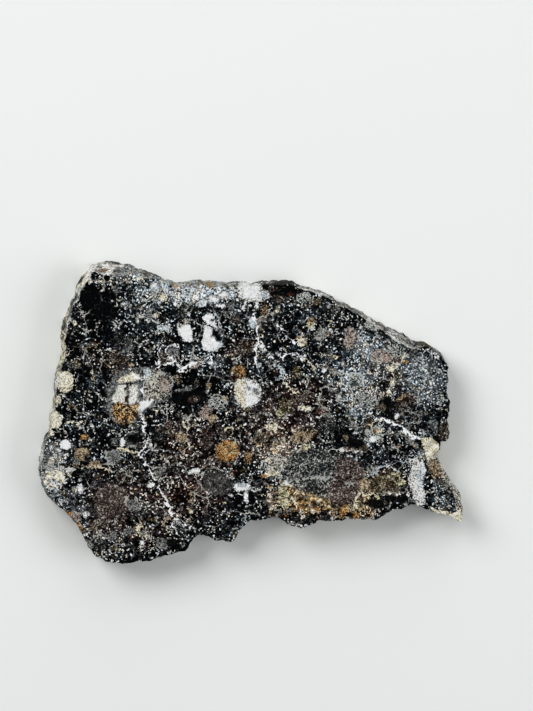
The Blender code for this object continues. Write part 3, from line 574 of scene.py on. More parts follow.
# Fillings of cracks: kind, half width, and points from end to end
displayVeins = (
    ("brown", 0.14, ((-22.7, 5.7), (-22.6, 3.4), (-22.7, 0.6), (-22.8, -1.4))),
    ("black", 0.13, ((-23.4, 5.8), (-22.0, 5.9))),
    ("brown", 0.10, ((-22.7, 2.1), (-23.7, 0.9), (-25.0, -0.2))),
    ("brown", 0.10, ((-22.6, 1.9), (-21.4, 0.7), (-20.8, -0.4))),
    ("brown", 0.08, ((-24.2, 1.8), (-25.2, 0.6))), ("brown", 0.08, ((-22.7, 0.4), (-23.6, -1.2))),
    ("chalk", 0.06, ((-7.2, -9.8), (-5.0, -10.4), (-3.4, -11.8))),
    ("lemon", 0.05, ((-4.4, -6.5), (-5.9, -5.3))), ("lemon", 0.05, ((-4.4, -6.5), (-3.5, -5.0))),
    ("lemon", 0.05, ((-4.4, -6.5), (-2.8, -7.2))), ("lemon", 0.05, ((-4.4, -6.5), (-5.0, -8.0))),
    ("brown", 0.06, ((-4.6, -6.0), (-6.0, -6.9))), ("brown", 0.06, ((-4.1, -6.4), (-2.9, -5.9))),
    ("white", 0.06, ((-22.1, 8.3), (-20.8, 7.2), (-19.9, 6.2), (-19.8, 4.2), (-19.9, 2.6))),
    ("white", 0.049, ((-19.4, 7.0), (-19.9, 6.2))),
    ("pale", 0.044, ((-16.9, 8.3), (-15.1, 7.2), (-14.5, 5.4), (-15.0, 3.6))),
    ("white", 0.06, ((-20.3, 0.8), (-20.2, 0.0), (-19.2, -1.5), (-19.7, -2.6), (-18.7, -4.4),
        (-19.5, -5.9))),
    ("white", 0.088, ((-19.5, -5.9), (-20.6, -6.8), (-20.0, -7.9), (-18.4, -9.9), (-17.1, -13.0),
        (-16.0, -15.0), (-14.7, -17.2), (-13.8, -18.9))),
    ("white", 0.075, ((-13.8, -18.9), (-14.5, -19.8), (-13.7, -21.5))),
    ("white", 0.06, ((-13.8, -18.9), (-10.9, -20.7))),
    ("cream", 0.066, ((-20.6, -6.8), (-22.9, -6.7), (-24.7, -6.2))),
    ("white", 0.038, ((-19.3, -6.4), (-16.6, -6.4), (-15.4, -6.7))),
    ("cream", 0.044, ((-31.0, -9.6), (-28.0, -9.3), (-25.0, -10.1))),
    ("pale", 0.054, ((-25.2, -10.1), (-23.7, -10.0), (-22.2, -10.8), (-21.5, -11.7))),
    ("cream", 0.071, ((-34.5, 10.3), (-33.5, 10.9), (-33.0, 11.5))),
    ("tan", 0.054, ((-31.8, 12.5), (-30.1, 12.3), (-28.2, 12.9))),
    ("tan", 0.038, ((-27.6, 10.1), (-25.9, 8.9), (-24.9, 9.9))),
    ("cream", 0.054, ((-29.0, 8.1), (-28.8, 6.5))),
    ("white", 0.044, ((-17.2, 12.9), (-17.2, 11.1), (-16.8, 9.9), (-17.0, 8.9))),
    ("white", 0.071, ((-17.0, 8.9), (-15.6, 9.7), (-14.0, 9.9), (-13.2, 8.4), (-12.1, 9.1),
        (-11.0, 9.5), (-9.5, 9.5), (-7.8, 9.6), (-7.6, 11.3))),
    ("snow", 0.06, ((-7.6, 18.9), (-6.8, 18.3), (-6.0, 16.9), (-5.6, 12.7), (-7.6, 11.3))),
    ("white", 0.082, ((0.2, 19.8), (-0.2, 19.3), (0.5, 17.6), (0.9, 16.1), (0.7, 15.0), (1.0, 13.5),
        (0.7, 12.2), (0.6, 10.2), (0.5, 9.1), (0.9, 8.2))),
    ("white", 0.082, ((1.3, 13.2), (2.2, 12.2))),
    ("white", 0.075, ((4.8, 16.1), (5.9, 15.0), (5.7, 14.1), (7.8, 13.3), (8.9, 12.6))),
    ("white", 0.066, ((3.0, 10.6), (5.4, 10.7), (6.5, 11.1), (8.1, 10.6), (9.3, 10.2))),
    ("cream", 0.093, ((9.3, 10.2), (10.7, 9.1))), ("cream", 0.054, ((12.8, 10.9), (15.2, 10.5))),
    ("snow", 0.066, ((4.3, 9.1), (5.2, 8.1), (5.1, 7.0), (4.6, 6.7))),
    ("cream", 0.044, ((5.7, 5.9), (8.1, 4.1))),
    ("cream", 0.044, ((28.1, 10.7), (26.4, 8.9), (25.5, 7.6), (25.2, 5.8), (25.0, 3.6))),
    ("white", 0.126, ((23.6, -0.8), (25.2, -1.4), (27.0, -2.4), (28.4, -3.4), (29.3, -4.2),
        (30.3, -4.5))),
    ("chalk", 0.066, ((14.4, -6.5), (16.2, -6.6), (17.8, -6.8), (19.5, -6.9))),
    ("pale", 0.044, ((26.0, -6.3), (27.4, -7.3), (27.2, -8.1), (26.4, -8.4))),
    ("snow", 0.044, ((21.1, -11.3), (23.6, -9.5), (26.0, -9.3), (27.5, -8.8), (29.1, -8.9))),
    ("pale", 0.066, ((6.9, -12.2), (11.6, -11.3), (14.2, -11.5), (16.5, -12.8), (18.9, -12.8))),
    ("chalk", 0.07, ((24.4, -14.9), (25.6, -14.6), (28.5, -14.7))),
    ("cream", 0.075, ((18.5, -16.8), (18.9, -15.4), (19.6, -14.4), (20.5, -14.6), (22.1, -14.6))),
    ("pale", 0.054, ((-8.9, -10.7), (-6.6, -9.7), (-3.6, -11.7), (-1.9, -12.9))),
    ("pale", 0.038, ((-9.4, -13.9), (-10.4, -11.0), (-13.2, -9.0))),
    ("cream", 0.038, ((19.5, -2.2), (21.6, -1.9), (23.0, -0.9))),
)
# Thin outlines round fragments: kind, half width, x, y, radius, and the angles from and to
displayArcs = (
    ("cream", 0.06, 9.0, 13.2, 0.60, 20, 350), ("pale", 0.05, -6.4, 2.1, 1.45, -40, 200),
    ("pale", 0.05, -25.2, -7.4, 1.20, 0, 330), ("cream", 0.06, -35.0, -11.1, 0.75, 30, 360),
    ("pale", 0.05, -16.7, -10.4, 1.00, 60, 330), ("pale", 0.05, -21.7, -16.3, 1.15, -30, 240),
    ("cream", 0.07, 3.2, -2.2, 0.75, 150, 400), ("tan", 0.05, 1.5, -4.3, 1.00, 20, 250),
    ("snow", 0.06, 4.1, 7.5, 1.35, -80, 140), ("pale", 0.06, 22.3, -4.0, 1.55, -30, 230),
    ("cream", 0.05, -19.9, -21.3, 0.95, 0, 330), ("white", 0.05, -14.7, 11.7, 1.15, 40, 280),
    ("cream", 0.05, -11.6, -1.6, 0.80, 90, 330), ("pale", 0.05, 13.6, 3.6, 1.30, 30, 220),
    ("cream", 0.05, -4.2, -3.2, 0.70, -60, 160), ("pale", 0.05, 29.6, -0.6, 1.00, 80, 300),
    ("snow", 0.05, 18.6, 6.0, 1.50, -20, 200), ("tan", 0.05, -29.0, -21.2, 0.90, 0, 250),
)
backVeins = (
    ("white", 0.14, ((-21.0, 3.0), (-20.2, -2.2), (-19.0, -6.0), (-17.6, -10.8), (-15.1, -16.3),
        (-13.0, -20.6))),
    ("cream", 0.09, ((-19.0, -6.0), (-23.4, -7.7), (-26.0, -7.0))),
    ("white", 0.12, ((1.8, 20.6), (1.1, 15.2), (1.9, 9.4), (0.7, 4.4))),
    ("white", 0.17, ((20.3, -0.1), (24.8, -2.0), (28.7, -4.9), (31.0, -5.8))),
    ("pale", 0.09, ((4.4, 9.9), (9.0, 9.0), (14.6, 11.0))),
    ("cream", 0.09, ((8.0, -10.9), (13.1, -12.4), (19.0, -12.0))),
)

# Soft zones of the matrix: x, y, half length, half width, turn, strength
matrixZones = {
    "pale": (  # crushed pale grain fills it
        # The first six lie over the rough broken top. There the speckle is partly pale grain and
        # partly painted light and shade of its relief.
        (-13.4, 22.5, 7.2, 2.4, -6, 1.0), (-6.6, 22.4, 4.4, 2.2, 0, 1.0),
        (-19.6, 21.2, 3.0, 2.6, 0, 0.35), (-8.4, 21.6, 3.6, 1.5, 10, 0.6),
        (-24.2, 24.4, 3.8, 1.4, -8, 0.45), (-21.8, 25.8, 4.0, 1.2, -12, 0.6),
        (-18.0, 16.6, 6.5, 3.6, -15, 0.14), (22.2, 11.8, 7.5, 2.8, -24, 0.7),
        (19.2, 4.2, 3.6, 4.4, 20, 0.8), (31.0, 6.4, 4.5, 5.5, 0, 0.32),
        (17.0, 8.2, 5.6, 3.6, 0, 0.40), (5.4, -5.0, 6.0, 4.4, 0, 0.25),
        (4.3, -9.4, 2.8, 1.7, 0, 0.7), (-36.0, -10.4, 2.4, 5.4, 0, 0.85),
        (-32.6, -16.4, 2.4, 3.4, 35, 0.4), (24.0, 1.0, 6.0, 3.4, 0, 0.25),
        (21.0, -4.0, 5.0, 4.0, 0, 0.3), (30.0, -7.6, 2.4, 2.8, 0, 0.5),
        (10.8, 19.8, 3.6, 1.8, -20, 0.3), (-6.6, 10.2, 5.4, 1.4, 5, 0.3),
        (0.5, 9.4, 1.4, 3.0, 0, 0.3), (-25.6, -21.6, 5.0, 2.4, -10, 0.2),
        (34.2, -10.8, 1.6, 3.4, 30, 0.7), (34.9, -15.8, 2.7, 1.7, -35, 0.34),
    ),
    "brown": (  # rust from metal grains stains it
        (-9.8, -5.6, 8.0, 5.4, 0, 0.85), (-12.8, -14.6, 6.6, 4.8, 0, 1.0),
        (5.2, -1.4, 7.2, 5.0, 0, 0.8), (-25.8, 10.0, 4.4, 2.2, 0, 0.6),
        (-2.4, 12.0, 3.0, 2.4, 0, 0.6), (9.0, 3.6, 5.6, 2.8, 0, 0.7),
        (-24.0, -14.0, 7.0, 5.0, 0, 0.5), (24.6, 4.4, 3.0, 4.8, 0, 0.35),
        (-25.8, -20.2, 4.8, 2.4, 0, 0.7), (-18.0, -22.6, 4.6, 2.6, 0, 0.6),
        (19.8, -12.6, 2.4, 2.4, 0, 0.5), (5.4, 22.6, 2.4, 1.4, 0, 0.4),
        (14.8, 16.2, 2.6, 3.0, 0, 0.3),
    ),
    "gold": (  # stained golden brown
        (10.4, -16.0, 7.4, 2.8, -4, 1.0), (19.6, -17.0, 3.4, 2.2, 0, 0.8),
        (24.2, -12.8, 3.6, 2.4, 0, 0.8), (3.6, -6.4, 4.4, 3.2, 0, 0.35),
        (20.2, -12.8, 1.2, 1.6, 0, 0.6), (-36.4, -9.0, 2.4, 6.0, 0, 0.12),
    ),
    "dull": (  # hardly any pale grain shows
        (-28.3, 19.8, 4.6, 4.8, -20, 1.0), (3.6, 13.0, 2.4, 2.8, 0, 0.6),
        (-11.4, 4.6, 5.0, 4.0, 0, 0.5), (3.4, 23.0, 3.6, 1.2, 0, 0.5),
        (-26.4, -14.6, 5.0, 3.6, -10, 0.7), (-12.6, 15.4, 3.4, 3.0, 0, 0.45),
        (-6.4, -12.8, 3.0, 2.8, 0, 0.7), (-29.0, 2.4, 4.0, 4.0, 0, 0.6),
        (16.4, -12.0, 3.4, 3.2, 0, 0.6), (13.4, -4.6, 2.6, 1.4, 0, 0.4),
        (-7.0, -20.0, 7.0, 3.0, 0, 0.35), (24.0, 14.0, 2.2, 1.3, -30, 0.8),
        (16.6, 17.2, 3.0, 1.4, -25, 0.4), (33.4, 0.4, 2.0, 2.6, 0, 0.3),
        (-30.4, 13.4, 2.8, 3.4, 0, 0.4), (-28.0, -4.4, 3.4, 1.6, 0, 0.4),
    ),
    "fine": (  # evenly fine-grained fragments, with no coarse crystals in them
        (10.2, -10.4, 6.6, 3.6, -12, 1.0), (16.9, -10.6, 3.0, 3.0, 0, 0.9),
        (16.0, -14.2, 3.0, 2.0, 0, 0.8), (-25.6, -15.4, 4.4, 3.4, -10, 0.95),
        (30.4, 6.0, 5.2, 4.6, -10, 0.7), (-6.3, -12.6, 3.0, 2.8, 0, 0.9),
        (34.8, -16.0, 3.6, 2.4, -35, 0.4), (-27.8, -23.2, 2.0, 1.6, 0, 0.7),
        (24.4, -13.0, 2.8, 2.2, 0, 0.6),
    ),
}

# The weathered rim's patches: kind, x, y, radius, strength
rindPatches = (
    ("cream", -30.6, 25.2, 2.2, 1.0), ("white", -28.6, 25.8, 1.5, 1.0),
    ("chalk", -26.4, 26.6, 1.6, 0.9), ("ochre", -27.6, 27.6, 1.0, 0.9),
    ("grey", -24.2, 26.8, 1.8, 0.45), ("chalk", -21.0, 26.2, 2.0, 0.3),
    ("rust", -19.4, 25.8, 0.7, 0.8), ("chalk", -32.4, 22.0, 1.6, 0.7),
    ("grey", -33.6, 18.6, 1.2, 0.6), ("cream", -33.9, 16.0, 1.4, 0.9),
    ("olive", -34.3, 14.0, 0.9, 0.8), ("cream", -34.8, 11.8, 2.4, 1.0),
    ("lemon", -34.9, 9.2, 1.2, 0.8), ("chalk", -36.2, 5.0, 2.6, 0.8),
    ("cream", -36.8, -0.6, 2.6, 0.9), ("olive", -37.4, -4.2, 1.2, 0.6),
    ("chalk", -38.6, -8.4, 2.2, 0.8), ("cream", -38.6, -12.0, 1.8, 0.8),
    ("grey", -36.8, -15.4, 2.0, 0.7), ("orange", -33.0, -18.6, 1.5, 0.9),
    ("cream", -31.6, -20.8, 1.2, 0.9), ("orange", -30.8, -22.6, 1.0, 0.7),
    ("olive", -10.0, 24.2, 2.2, 0.6), ("pale", -13.8, 24.2, 1.8, 0.6),
    ("lemon", -7.6, 24.0, 0.8, 0.6), ("olive", -3.4, 24.0, 1.0, 0.6),
    ("white", -0.4, 23.8, 1.6, 1.0), ("coal", 4.8, 23.8, 3.4, 0.9), ("brown", 7.6, 23.0, 1.6, 0.8),
    ("chalk", 11.4, 22.4, 3.0, 0.7), ("olive", 9.4, 22.8, 0.9, 0.5), ("pale", 16.4, 20.2, 2.0, 0.6),
    ("chalk", 22.0, 16.6, 2.6, 0.8), ("chalk", 26.4, 14.2, 2.8, 0.9),
    ("olive", 32.4, 12.6, 2.4, 0.8), ("grey", 36.0, 8.0, 3.0, 0.7), ("chalk", 36.2, 1.4, 1.4, 0.6),
    # The brown patch by the notch is rust brown, darkened by painted shadow for the wall there that
    # lies in shade.
    ("brown", 35.9, -3.8, 2.0, 0.9), ("cream", 34.4, -7.6, 2.2, 1.0),
    ("ochre", 35.0, -10.8, 1.4, 0.9), ("chalk", 37.0, -13.6, 1.6, 0.7),
    ("pale", 38.6, -16.8, 1.6, 0.7), ("cream", 38.2, -20.0, 1.8, 1.0),
    ("tan", 12.0, -20.4, 7.0, 0.5), ("cream", 7.6, -20.8, 1.2, 0.7),
    ("grey", -7.0, -22.8, 6.0, 0.6), ("chalk", -12.6, -25.0, 1.0, 0.6),
)
rindBase = "#57554D"  # dried clay, between them

# The hue of the matrix, as the share of red, green and blue, for its dark ground and its pale
# grain: plain, in the brown zones and in the gold ones
matrixHues = {
    "groundHue": ((0.70, 1.02, 1.32), (2.15, 0.80, 0.62), (2.00, 0.95, 0.26)),
    "grainHue": ((0.99, 1.0, 1.0), (1.14, 0.98, 0.84), (1.46, 1.02, 0.52)),
}
# How light the matrix is between its crystals (0 is black, 1 white) and how full of bright
# crystals, by itself and with what each kind of zone adds
matrixLight = {"own": -0.11, "pale": 0.46, "brown": 0.15, "gold": 0.40, "dull": -0.10, "fine": 0.32}
matrixGrit = {"own": 0.04, "pale": 1.1, "brown": -0.10, "gold": 0.70, "dull": -0.02, "fine": 0.10}

# How the pattern is laid on the points
laying = {
    "shuffle": 0.24,  # how far a noise moves the faces' pattern about
    "shuffleSize": 1.2,
    "blow": 0.6,  # the same for the crust's patches, at the display face
    "blowDown": 9.0,  # and how much further at the back face
    "blowSize": 3.0,
    "backBelow": 0.45,  # share of the thickness below which the rim has the back's pattern
    "squareness": 2.4,  # the power of a fragment's outline, where 2 is an ellipse
    "overlap": 0.12,  # how softly one fragment ends inside another
    "zoneFade": (0.9, 1.5),  # how steeply a zone fades, and the power of its distance squared
    "patchFade": (0.6, 4),  # the same for a patch of crust, with the power of its distance
    "strewnSkew": 2.2,  # how few of the strewn fragments are large
    "arcPoints": 9,
    "farAway": 9.0,  # a distance past every fragment and vein
}


# Signed distance to a fragment, over zero inside: (1 - r) times the smaller half width, with r
# the distance from the middle in half widths, for an ellipse that is squared a little.
def ovalDistance(x, y, clast):
    along, across = ellipsePlace(x, y, *clast[1:])
    power = laying["squareness"]
    away = (np.abs(along) ** power + np.abs(across) ** power) ** (1 / power)
    return (1.0 - away) * min(clast[3:5])


# Distance from each point to the segment from start to end, and the side that it lies on.
def segmentDistance(x, y, start, end):
    runX, runY = end[0] - start[0], end[1] - start[1]
    share = np.clip(((x - start[0]) * runX + (y - start[1]) * runY) / (runX**2 + runY**2), 0.0, 1.0)
    offX, offY = x - start[0] - share * runX, y - start[1] - share * runY
    side = np.where(runX * (y - start[1]) - runY * (x - start[0]) < 0.0, -1.0, 1.0)
    return np.hypot(offX, offY), side


# Signed distance to a closed outline: the nearest side's distance, over zero where a line
# towards +X crosses the outline an odd number of times.
def outlineDistance(x, y, points):
    nearest = np.full(x.shape, np.inf)
    inside = np.zeros(x.shape, bool)
    for start, end in zip(points, points[1:] + points[:1]):
        nearest = np.minimum(nearest, segmentDistance(x, y, start, end)[0])
        crosses = (start[1] > y) != (end[1] > y)
        rise = end[1] - start[1] or 1.0  # a level side is never crossed
        inside ^= crosses & (x < start[0] + (end[0] - start[0]) * (y - start[1]) / rise)
    return np.where(inside, nearest, -nearest)


# The strength of soft zones: each is its strength times a bell of the distance in half widths,
# and the rests of all zones are multiplied, so that overlaps never pass 1.
def zoneStrength(x, y, zones):
    rest = np.ones(x.shape)
    steepness, power = laying["zoneFade"]
    for *ellipse, strength in zones:
        along, across = ellipsePlace(x, y, *ellipse)
        rest = rest * (1.0 - strength * np.exp(-steepness * (along**2 + across**2) ** power))
    return 1.0 - rest


# Fragments at random places, the largest first: the half length is the smallest one times a power
# of the range, with few large ones, and the half width is 0.5 to 1 of it. None lies where the
# zones to be kept out of are stronger than a half.
def strewnClasts(plans, seed, keptOut=()):
    chance = np.random.default_rng(seed)
    clasts = []
    for (middleX, middleY), (spreadX, spreadY), count, (smallest, largest), kinds in plans:
        for _ in range(count):
            half = smallest * (largest / smallest) ** (chance.random() ** laying["strewnSkew"])
            clasts.append((
                str(chance.choice(kinds.split())), middleX + spreadX * chance.uniform(-1, 1),
                middleY + spreadY * chance.uniform(-1, 1), half, half * chance.uniform(0.5, 1.0),
                chance.uniform(0, 180),
            ))
    middles = np.array([clast[1:3] for clast in clasts])
    free = zoneStrength(middles[:, 0], middles[:, 1], keptOut) < 0.5
    clasts = [clast for clast, isFree in zip(clasts, free) if isFree]
    return tuple(sorted(clasts, key=lambda clast: -clast[3]))


# Lays the fragments over each other in turn. The tint is the last one's that covers a point, or
# outside all of them the nearest one's, and the edge is the greatest signed distance.
def layClasts(x, y, ovals, shaped):
    edge = np.full(x.shape, -laying["farAway"])
    look = np.zeros(x.shape + (5,))  # linear red, green, blue, then grain and cover
    soft = laying["overlap"]
    layers = [(clast[0], ovalDistance(x, y, clast)) for clast in ovals]
    layers += [(kind, outlineDistance(x, y, points)) for kind, points in shaped]
    for kind, distance in layers:
        hexColour, ownGrain, ownCover = clastKinds[kind]
        own = np.array(linearColour(hexColour) + [ownGrain, ownCover])
        covers = np.where((distance > edge) & (edge < 0.0), 1.0, smoothStep(-soft, soft, distance))
        look += (own - look) * covers[:, None]
        edge = np.maximum(edge, distance)
    return edge, look


# The points of an arc round a middle, at even steps of its angle.
def arcPoints(middleX, middleY, radius, first, last):
    turn = np.radians(np.linspace(first, last, laying["arcPoints"]))
    return tuple(zip(middleX + radius * np.cos(turn), middleY + radius * np.sin(turn)))


# The nearest vein: its signed distance, its plain distance, its half width and its colour.
def layVeins(x, y, veins):
    side, near = np.full((2,) + x.shape, laying["farAway"])
    width = np.zeros(x.shape)
    tint = np.zeros(x.shape + (3,))
    for kind, halfWidth, points in veins:
        colour = linearColour(clastKinds[kind][0])
        for start, end in zip(points, points[1:]):
            distance, ownSide = segmentDistance(x, y, start, end)
            nearer = distance < near
            near = np.where(nearer, distance, near)
            side = np.where(nearer, distance * ownSide, side)
            width = np.where(nearer, halfWidth, width)
            tint[nearer] = colour
    return side, near, width, tint


# Lays the crust's patches, each a bell of the distance from its middle, and gives the colour and
# the strongest bell.
def layCrust(x, y):
    tint = np.tile(linearColour(rindBase), (len(x), 1))
    cover = np.zeros(len(x))
    steepness, power = laying["patchFade"]
    for kind, patchX, patchY, radius, strength in rindPatches:
        away = np.hypot(x - patchX, y - patchY) / radius
        bell = strength * np.exp(-steepness * away**power)
        tint += (np.array(linearColour(clastKinds[kind][0])) - tint) * bell[:, None]
        cover = np.maximum(cover, bell)
    return tint, cover


# Works out what the materials read at each point. The places are first moved about by noise,
# for the crust further the deeper they lie down the rim.
def paintPoints(built):
    x, y, z = built["x"], built["y"], built["z"]
    blow = laying["blow"] + laying["blowDown"] * (1.0 - z / sliceShape["thickness"])
    rindTint, rindCover = layCrust(*(
        place + blow * latticeNoise(x, y, z, laying["blowSize"], seed, 3)
        for place, seed in zip((x, y), seeds["crust"])
    ))
    shuffle, size, (seedX, seedY) = laying["shuffle"], laying["shuffleSize"], seeds["pattern"]
    x = x + shuffle * latticeNoise(x, y, z, size, seedX, 3)
    y = y + shuffle * latticeNoise(x, y, z, size, seedY, 3)
    keptOut = matrixZones["dull"] + matrixZones["fine"] + matrixZones["pale"]
    strewn = strewnClasts(displayStrewn, seeds["display"], keptOut)
    strewn += strewnClasts(paleStrewn, seeds["pale"], matrixZones["dull"])
    arcs = tuple((kind, halfWidth, arcPoints(*arc)) for kind, halfWidth, *arc in displayArcs)
    front = layClasts(x, y, strewn + displayClasts, shapedClasts)
    front += layVeins(x, y, displayVeins + arcs)
    back = layClasts(x, y, strewnClasts(backStrewn, seeds["back"]), ()) + layVeins(x, y, backVeins)
    deeper = z < laying["backBelow"] * sliceShape["thickness"]
    edge, look, side, near, width, veinTint = (
        np.where(deeper if a.ndim == 1 else deeper[:, None], b, a) for a, b in zip(front, back)
    )
    painted = {
        "clastEdge": edge, "clastTint": look[:, :3], "clastGrain": look[:, 3],
        "clastCover": look[:, 4], "veinSide": side, "veinNear": near, "veinWidth": width,
        "veinTint": veinTint, "rindCover": rindCover, "rindTint": rindTint,
        "broken": built["broken"],
    }
    zones = {"own": 1.0}
    zones.update({name: zoneStrength(x, y, rows) for name, rows in matrixZones.items()})
    for name, (plain, brown, gold) in matrixHues.items():
        hue = np.array(plain) + (np.array(brown) - plain) * zones["brown"][:, None]
        painted[name] = hue + (np.array(gold) - hue) * zones["gold"][:, None]
    for name, levels in (("matrixLight", matrixLight), ("matrixGrit", matrixGrit)):
        painted[name] = sum(levels[zone] * strength for zone, strength in zones.items())
    painted["dullness"], painted["fineness"] = zones["dull"], zones["fine"]
    return painted


painted = paintPoints(built)
print("fragments on the display face:", len(displayClasts) + len(shapedClasts))

# Materials

eyePower = 2.2  # lightness as the eye sees it, from 0 to 1, raised to this is a share of light
nodeGrid = (24, 180, 220)  # nodes in a row of the editor, and the room that each one takes


# Adds one node and gives its outputs. Its settings are attributes, or a ramp's stops. Its inputs
# are values, sRGB hex colours or the sockets that feed it, in the node's order or by name.
def addNode(tree, kind, settings, inputs):
    node = tree.nodes.new("ShaderNode" + kind)
    row, column = divmod(len(tree.nodes), nodeGrid[0])
    node.location = (nodeGrid[1] * column, -nodeGrid[2] * row)
    for name, value in settings.items():
        if name == "stops":
            ramp = node.color_ramp.elements
            while len(ramp) < len(value):
                ramp.new(0.5)
            for stop, (place, hexColour) in zip(ramp, value):
                stop.position = place
                stop.color = (*linearColour(hexColour), 1.0)
        else:
            setattr(node, name, value)
    for name, value in inputs.items() if isinstance(inputs, dict) else enumerate(inputs):
        if isinstance(value, bpy.types.NodeSocket):
            tree.links.new(value, node.inputs[name])
        elif isinstance(value, str):
            node.inputs[name].default_value = (*linearColour(value), 1.0)
        else:
            node.inputs[name].default_value = value
    return node.outputs


# A material and its node tree, emptied of the nodes that a new one starts with.
def newMaterial(name):
    material = bpy.data.materials.new(name)
    material.use_nodes = True
    material.node_tree.nodes.clear()
    return material, material.node_tree


# Settings that many nodes share
plus, minus, times = {"operation": "ADD"}, {"operation": "SUBTRACT"}, {"operation": "MULTIPLY"}
timesPlus = {"operation": "MULTIPLY_ADD"}  # the first input times the second, plus the third
raised, unsigned = {"operation": "POWER"}, {"operation": "ABSOLUTE"}
larger, smaller = {"operation": "MAXIMUM"}, {"operation": "MINIMUM"}
scaled = {"operation": "SCALE"}
clamped = {"use_clamp": True}
smooth = {"interpolation_type": "SMOOTHSTEP"}
ofColours = {"data_type": "RGBA"}  # whose inputs are 0, the share, and 6 and 7, the colours

# In the two dictionaries below, a Line is a factor and what is added, and a Range is where a
# range starts and ends and what it becomes there, which is 0 and 1 where only two are given.

# Sawn breccia: enstatite and metal crushed to a black, shock-darkened matrix round fragments of
# cleaner rock. It was cut with a diamond blade and left unpolished, so it is satin at best, and
# every crystal that the saw met square on shows as a pale grain.
sawnBreccia = {
    # sizes and weights of the noise that shades everything a little
    "grain": ((0.22, 1.15), (0.50, 0.45), (1.1, 0.35)),
    "noiseSpread": 0.12,  # one standard step of Blender's noise
    "grainLight": 0.09,  # how far such a step of the grain lightens the matrix
    "driftScale": 0.9,  # per millimetre, of the soft noise that bends every pattern
    "driftReach": 1.1,
    # how full of crystals the matrix is
    "gritLine": (0.35, 0.9),
    "dullLine": (-0.85, 1.0),
    "clumpSize": 2.9,  # from one clump of crystals to the next
    "clumpRange": (0.40, 0.62, 0.22, 1.5),
    "gritEvens": 0.8,  # how much of the clumping is lost where it is full of them
    # small fragments: size, how much darker the darkest is, and from there to the palest
    "chips": ((0.95, 0.05, 0.18), (2.6, 0.06, 0.216)),
    "chipSkew": 2.4,  # how few of them are pale
    "chipLine": (1.1, 0.45),  # how full of crystals one is
    "chipHues": ((0.0, "#F6F0EA"), (0.2, "#E2EFF8"), (0.65, "#F1F9FC"), (0.92, "#FFF8EA"),
                 (1.0, "#FFEED4")),
    # rounded fragments, with radii in cells
    "roundSize": 1.55,  # from one to the next
    "roundLump": 0.3,
    "radiusLine": (0.42, 0.18),
    "roundRange": (-0.03, 0.05),  # across its edge
    "roundLine": (0.38, -0.171),  # how much lighter it is than the matrix
    "outlineRange": (0.10, 0.02, 0.0, 0.34),  # how light the pale line round it is
    "roundHues": ((0.0, "#ECF2F5"), (0.45, "#F3F4F2"), (0.65, "#F0EBE0"), (0.8, "#E8E3CC"),
                  (0.92, "#F0DABC"), (1.0, "#F5E6DE")),
    # thin bent crystals, cut lengthways
    "wormSize": 0.8,
    "wormRange": (0.034, 0.006),
    "stretchRange": (0.46, 0.60, 0.0, 0.36),  # where they show, and how light
    # loose crystals: size, width and brightness. Real ones are 0.02 mm and up, and those are
    # drawn no finer than 0.28 mm from one to the next, so that they show
    "crystals": ((0.28, 0.50, 8.0), (0.55, 0.36, 3.2)),
    "crystalCore": 0.8,  # share of the width at which one reaches its full brightness
    "ragged": 0.45,  # how far grain eats into their outlines
    "dimRange": (0.0, 1.0, 14.0, 1.2),  # how few of them are bright, from bare to full matrix
    "hueRange": (0.12, 0.5),  # the lightness that turns the ground's hue to the grain's
    # the few large clean crystals
    "speckSize": 0.9,
    "speckRagged": 0.5,
    "speckRange": (0.55, 0.46),
    "fewRange": (0.86, 0.98),
    "speckHues": ((0.0, "#F4F7F8"), (0.7, "#E9EBE8"), (0.88, "#E0D8BC"), (1.0, "#C4AC80")),
    # hairline cracks
    "hairlineSize": 3.4,  # from one to the next
    "hairlineRange": (0.028, 0.008),
    "hairlinePlaces": {"Scale": 0.35, "Detail": 3.0, "Roughness": 0.7},  # noise, per millimetre
    "shownRange": (0.47, 0.60, 0.0, 0.7),
    "hairlineColour": "#D5D3CA",
    # the larger fragments, by the signed distance to their edge
    "fraying": 0.05,  # how far a step of the grain moves the edge
    "clastRange": (-0.04, 0.08),
    "depthRange": (-0.05, 0.38, 0.82, 1.0),  # its lightness, from the edge to well inside
    "haloRange": (-0.32, -0.04, 1.0, 0.45),  # the matrix darkens towards it
    "bleachRange": (1.4, 2.1, 0.0, 0.9),  # the palest grain loses the fragment's tint
    "bleachColour": "#D6D3C9",
    "darkest": 0.0,
    "palest": (0.92, 0.92, 0.92),
    # veins
    "swerve": (0.45, 0.9, 1.3),  # how far each size of the grain's noise bends one
    "beads": (0.7, 0.6),  # the weights of its coarse and middle size in where a vein swells
    "swellRange": (0.52, 0.80, 0.0, 2.7),
    "lineRange": (-0.07, 0.03),  # across a vein's edge
    "nearRange": (0.8, 0.6),  # as far as one may swerve
    # the surface
    "roughRange": (0.0, 0.6, 0.36, 0.62),  # by lightness
    "brokenRough": 0.25,  # how much rougher a chip's floor is
    "bumpStrength": 0.6,
    "bump": 0.00002,  # metres
    "specular": 0.02,
    "ior": 1.66,  # enstatite
}

# Weathered rind: the same breccia after years in the ground, broken rather than sawn. Clay and
# carbonate sit in its hollows, so it is dull, paler than the cut faces and mottled, and the black
# rock shows through where the crust has worn off.
weatheredRind = {
    "grain": ((0.26, 1.3), (0.62, 0.8), (1.8, 0.5)),
    "noiseSpread": 0.12,
    "grainLight": 0.22,
    "darkest": 0.05,
    "palest": (0.92, 0.91, 0.87),
    "wornPlaces": {"Scale": 1 / 1.2, "Detail": 4.0, "Roughness": 0.65},  # per millimetre
    "crustRange": (0.40, 0.56),  # the noise between which the crust starts
    "thinnest": 0.15,  # how much crust is left where it has worn off
    "thickRange": (0.0, 0.7, 0.45, 1.0),  # and elsewhere, by the strength of its patch
    "patchShare": 0.8,  # share of a patch that never wears off
    "roughRange": (0.0, 0.6, 0.78, 0.95),
    "bump": 0.00006,
    "specular": 0.1,
}


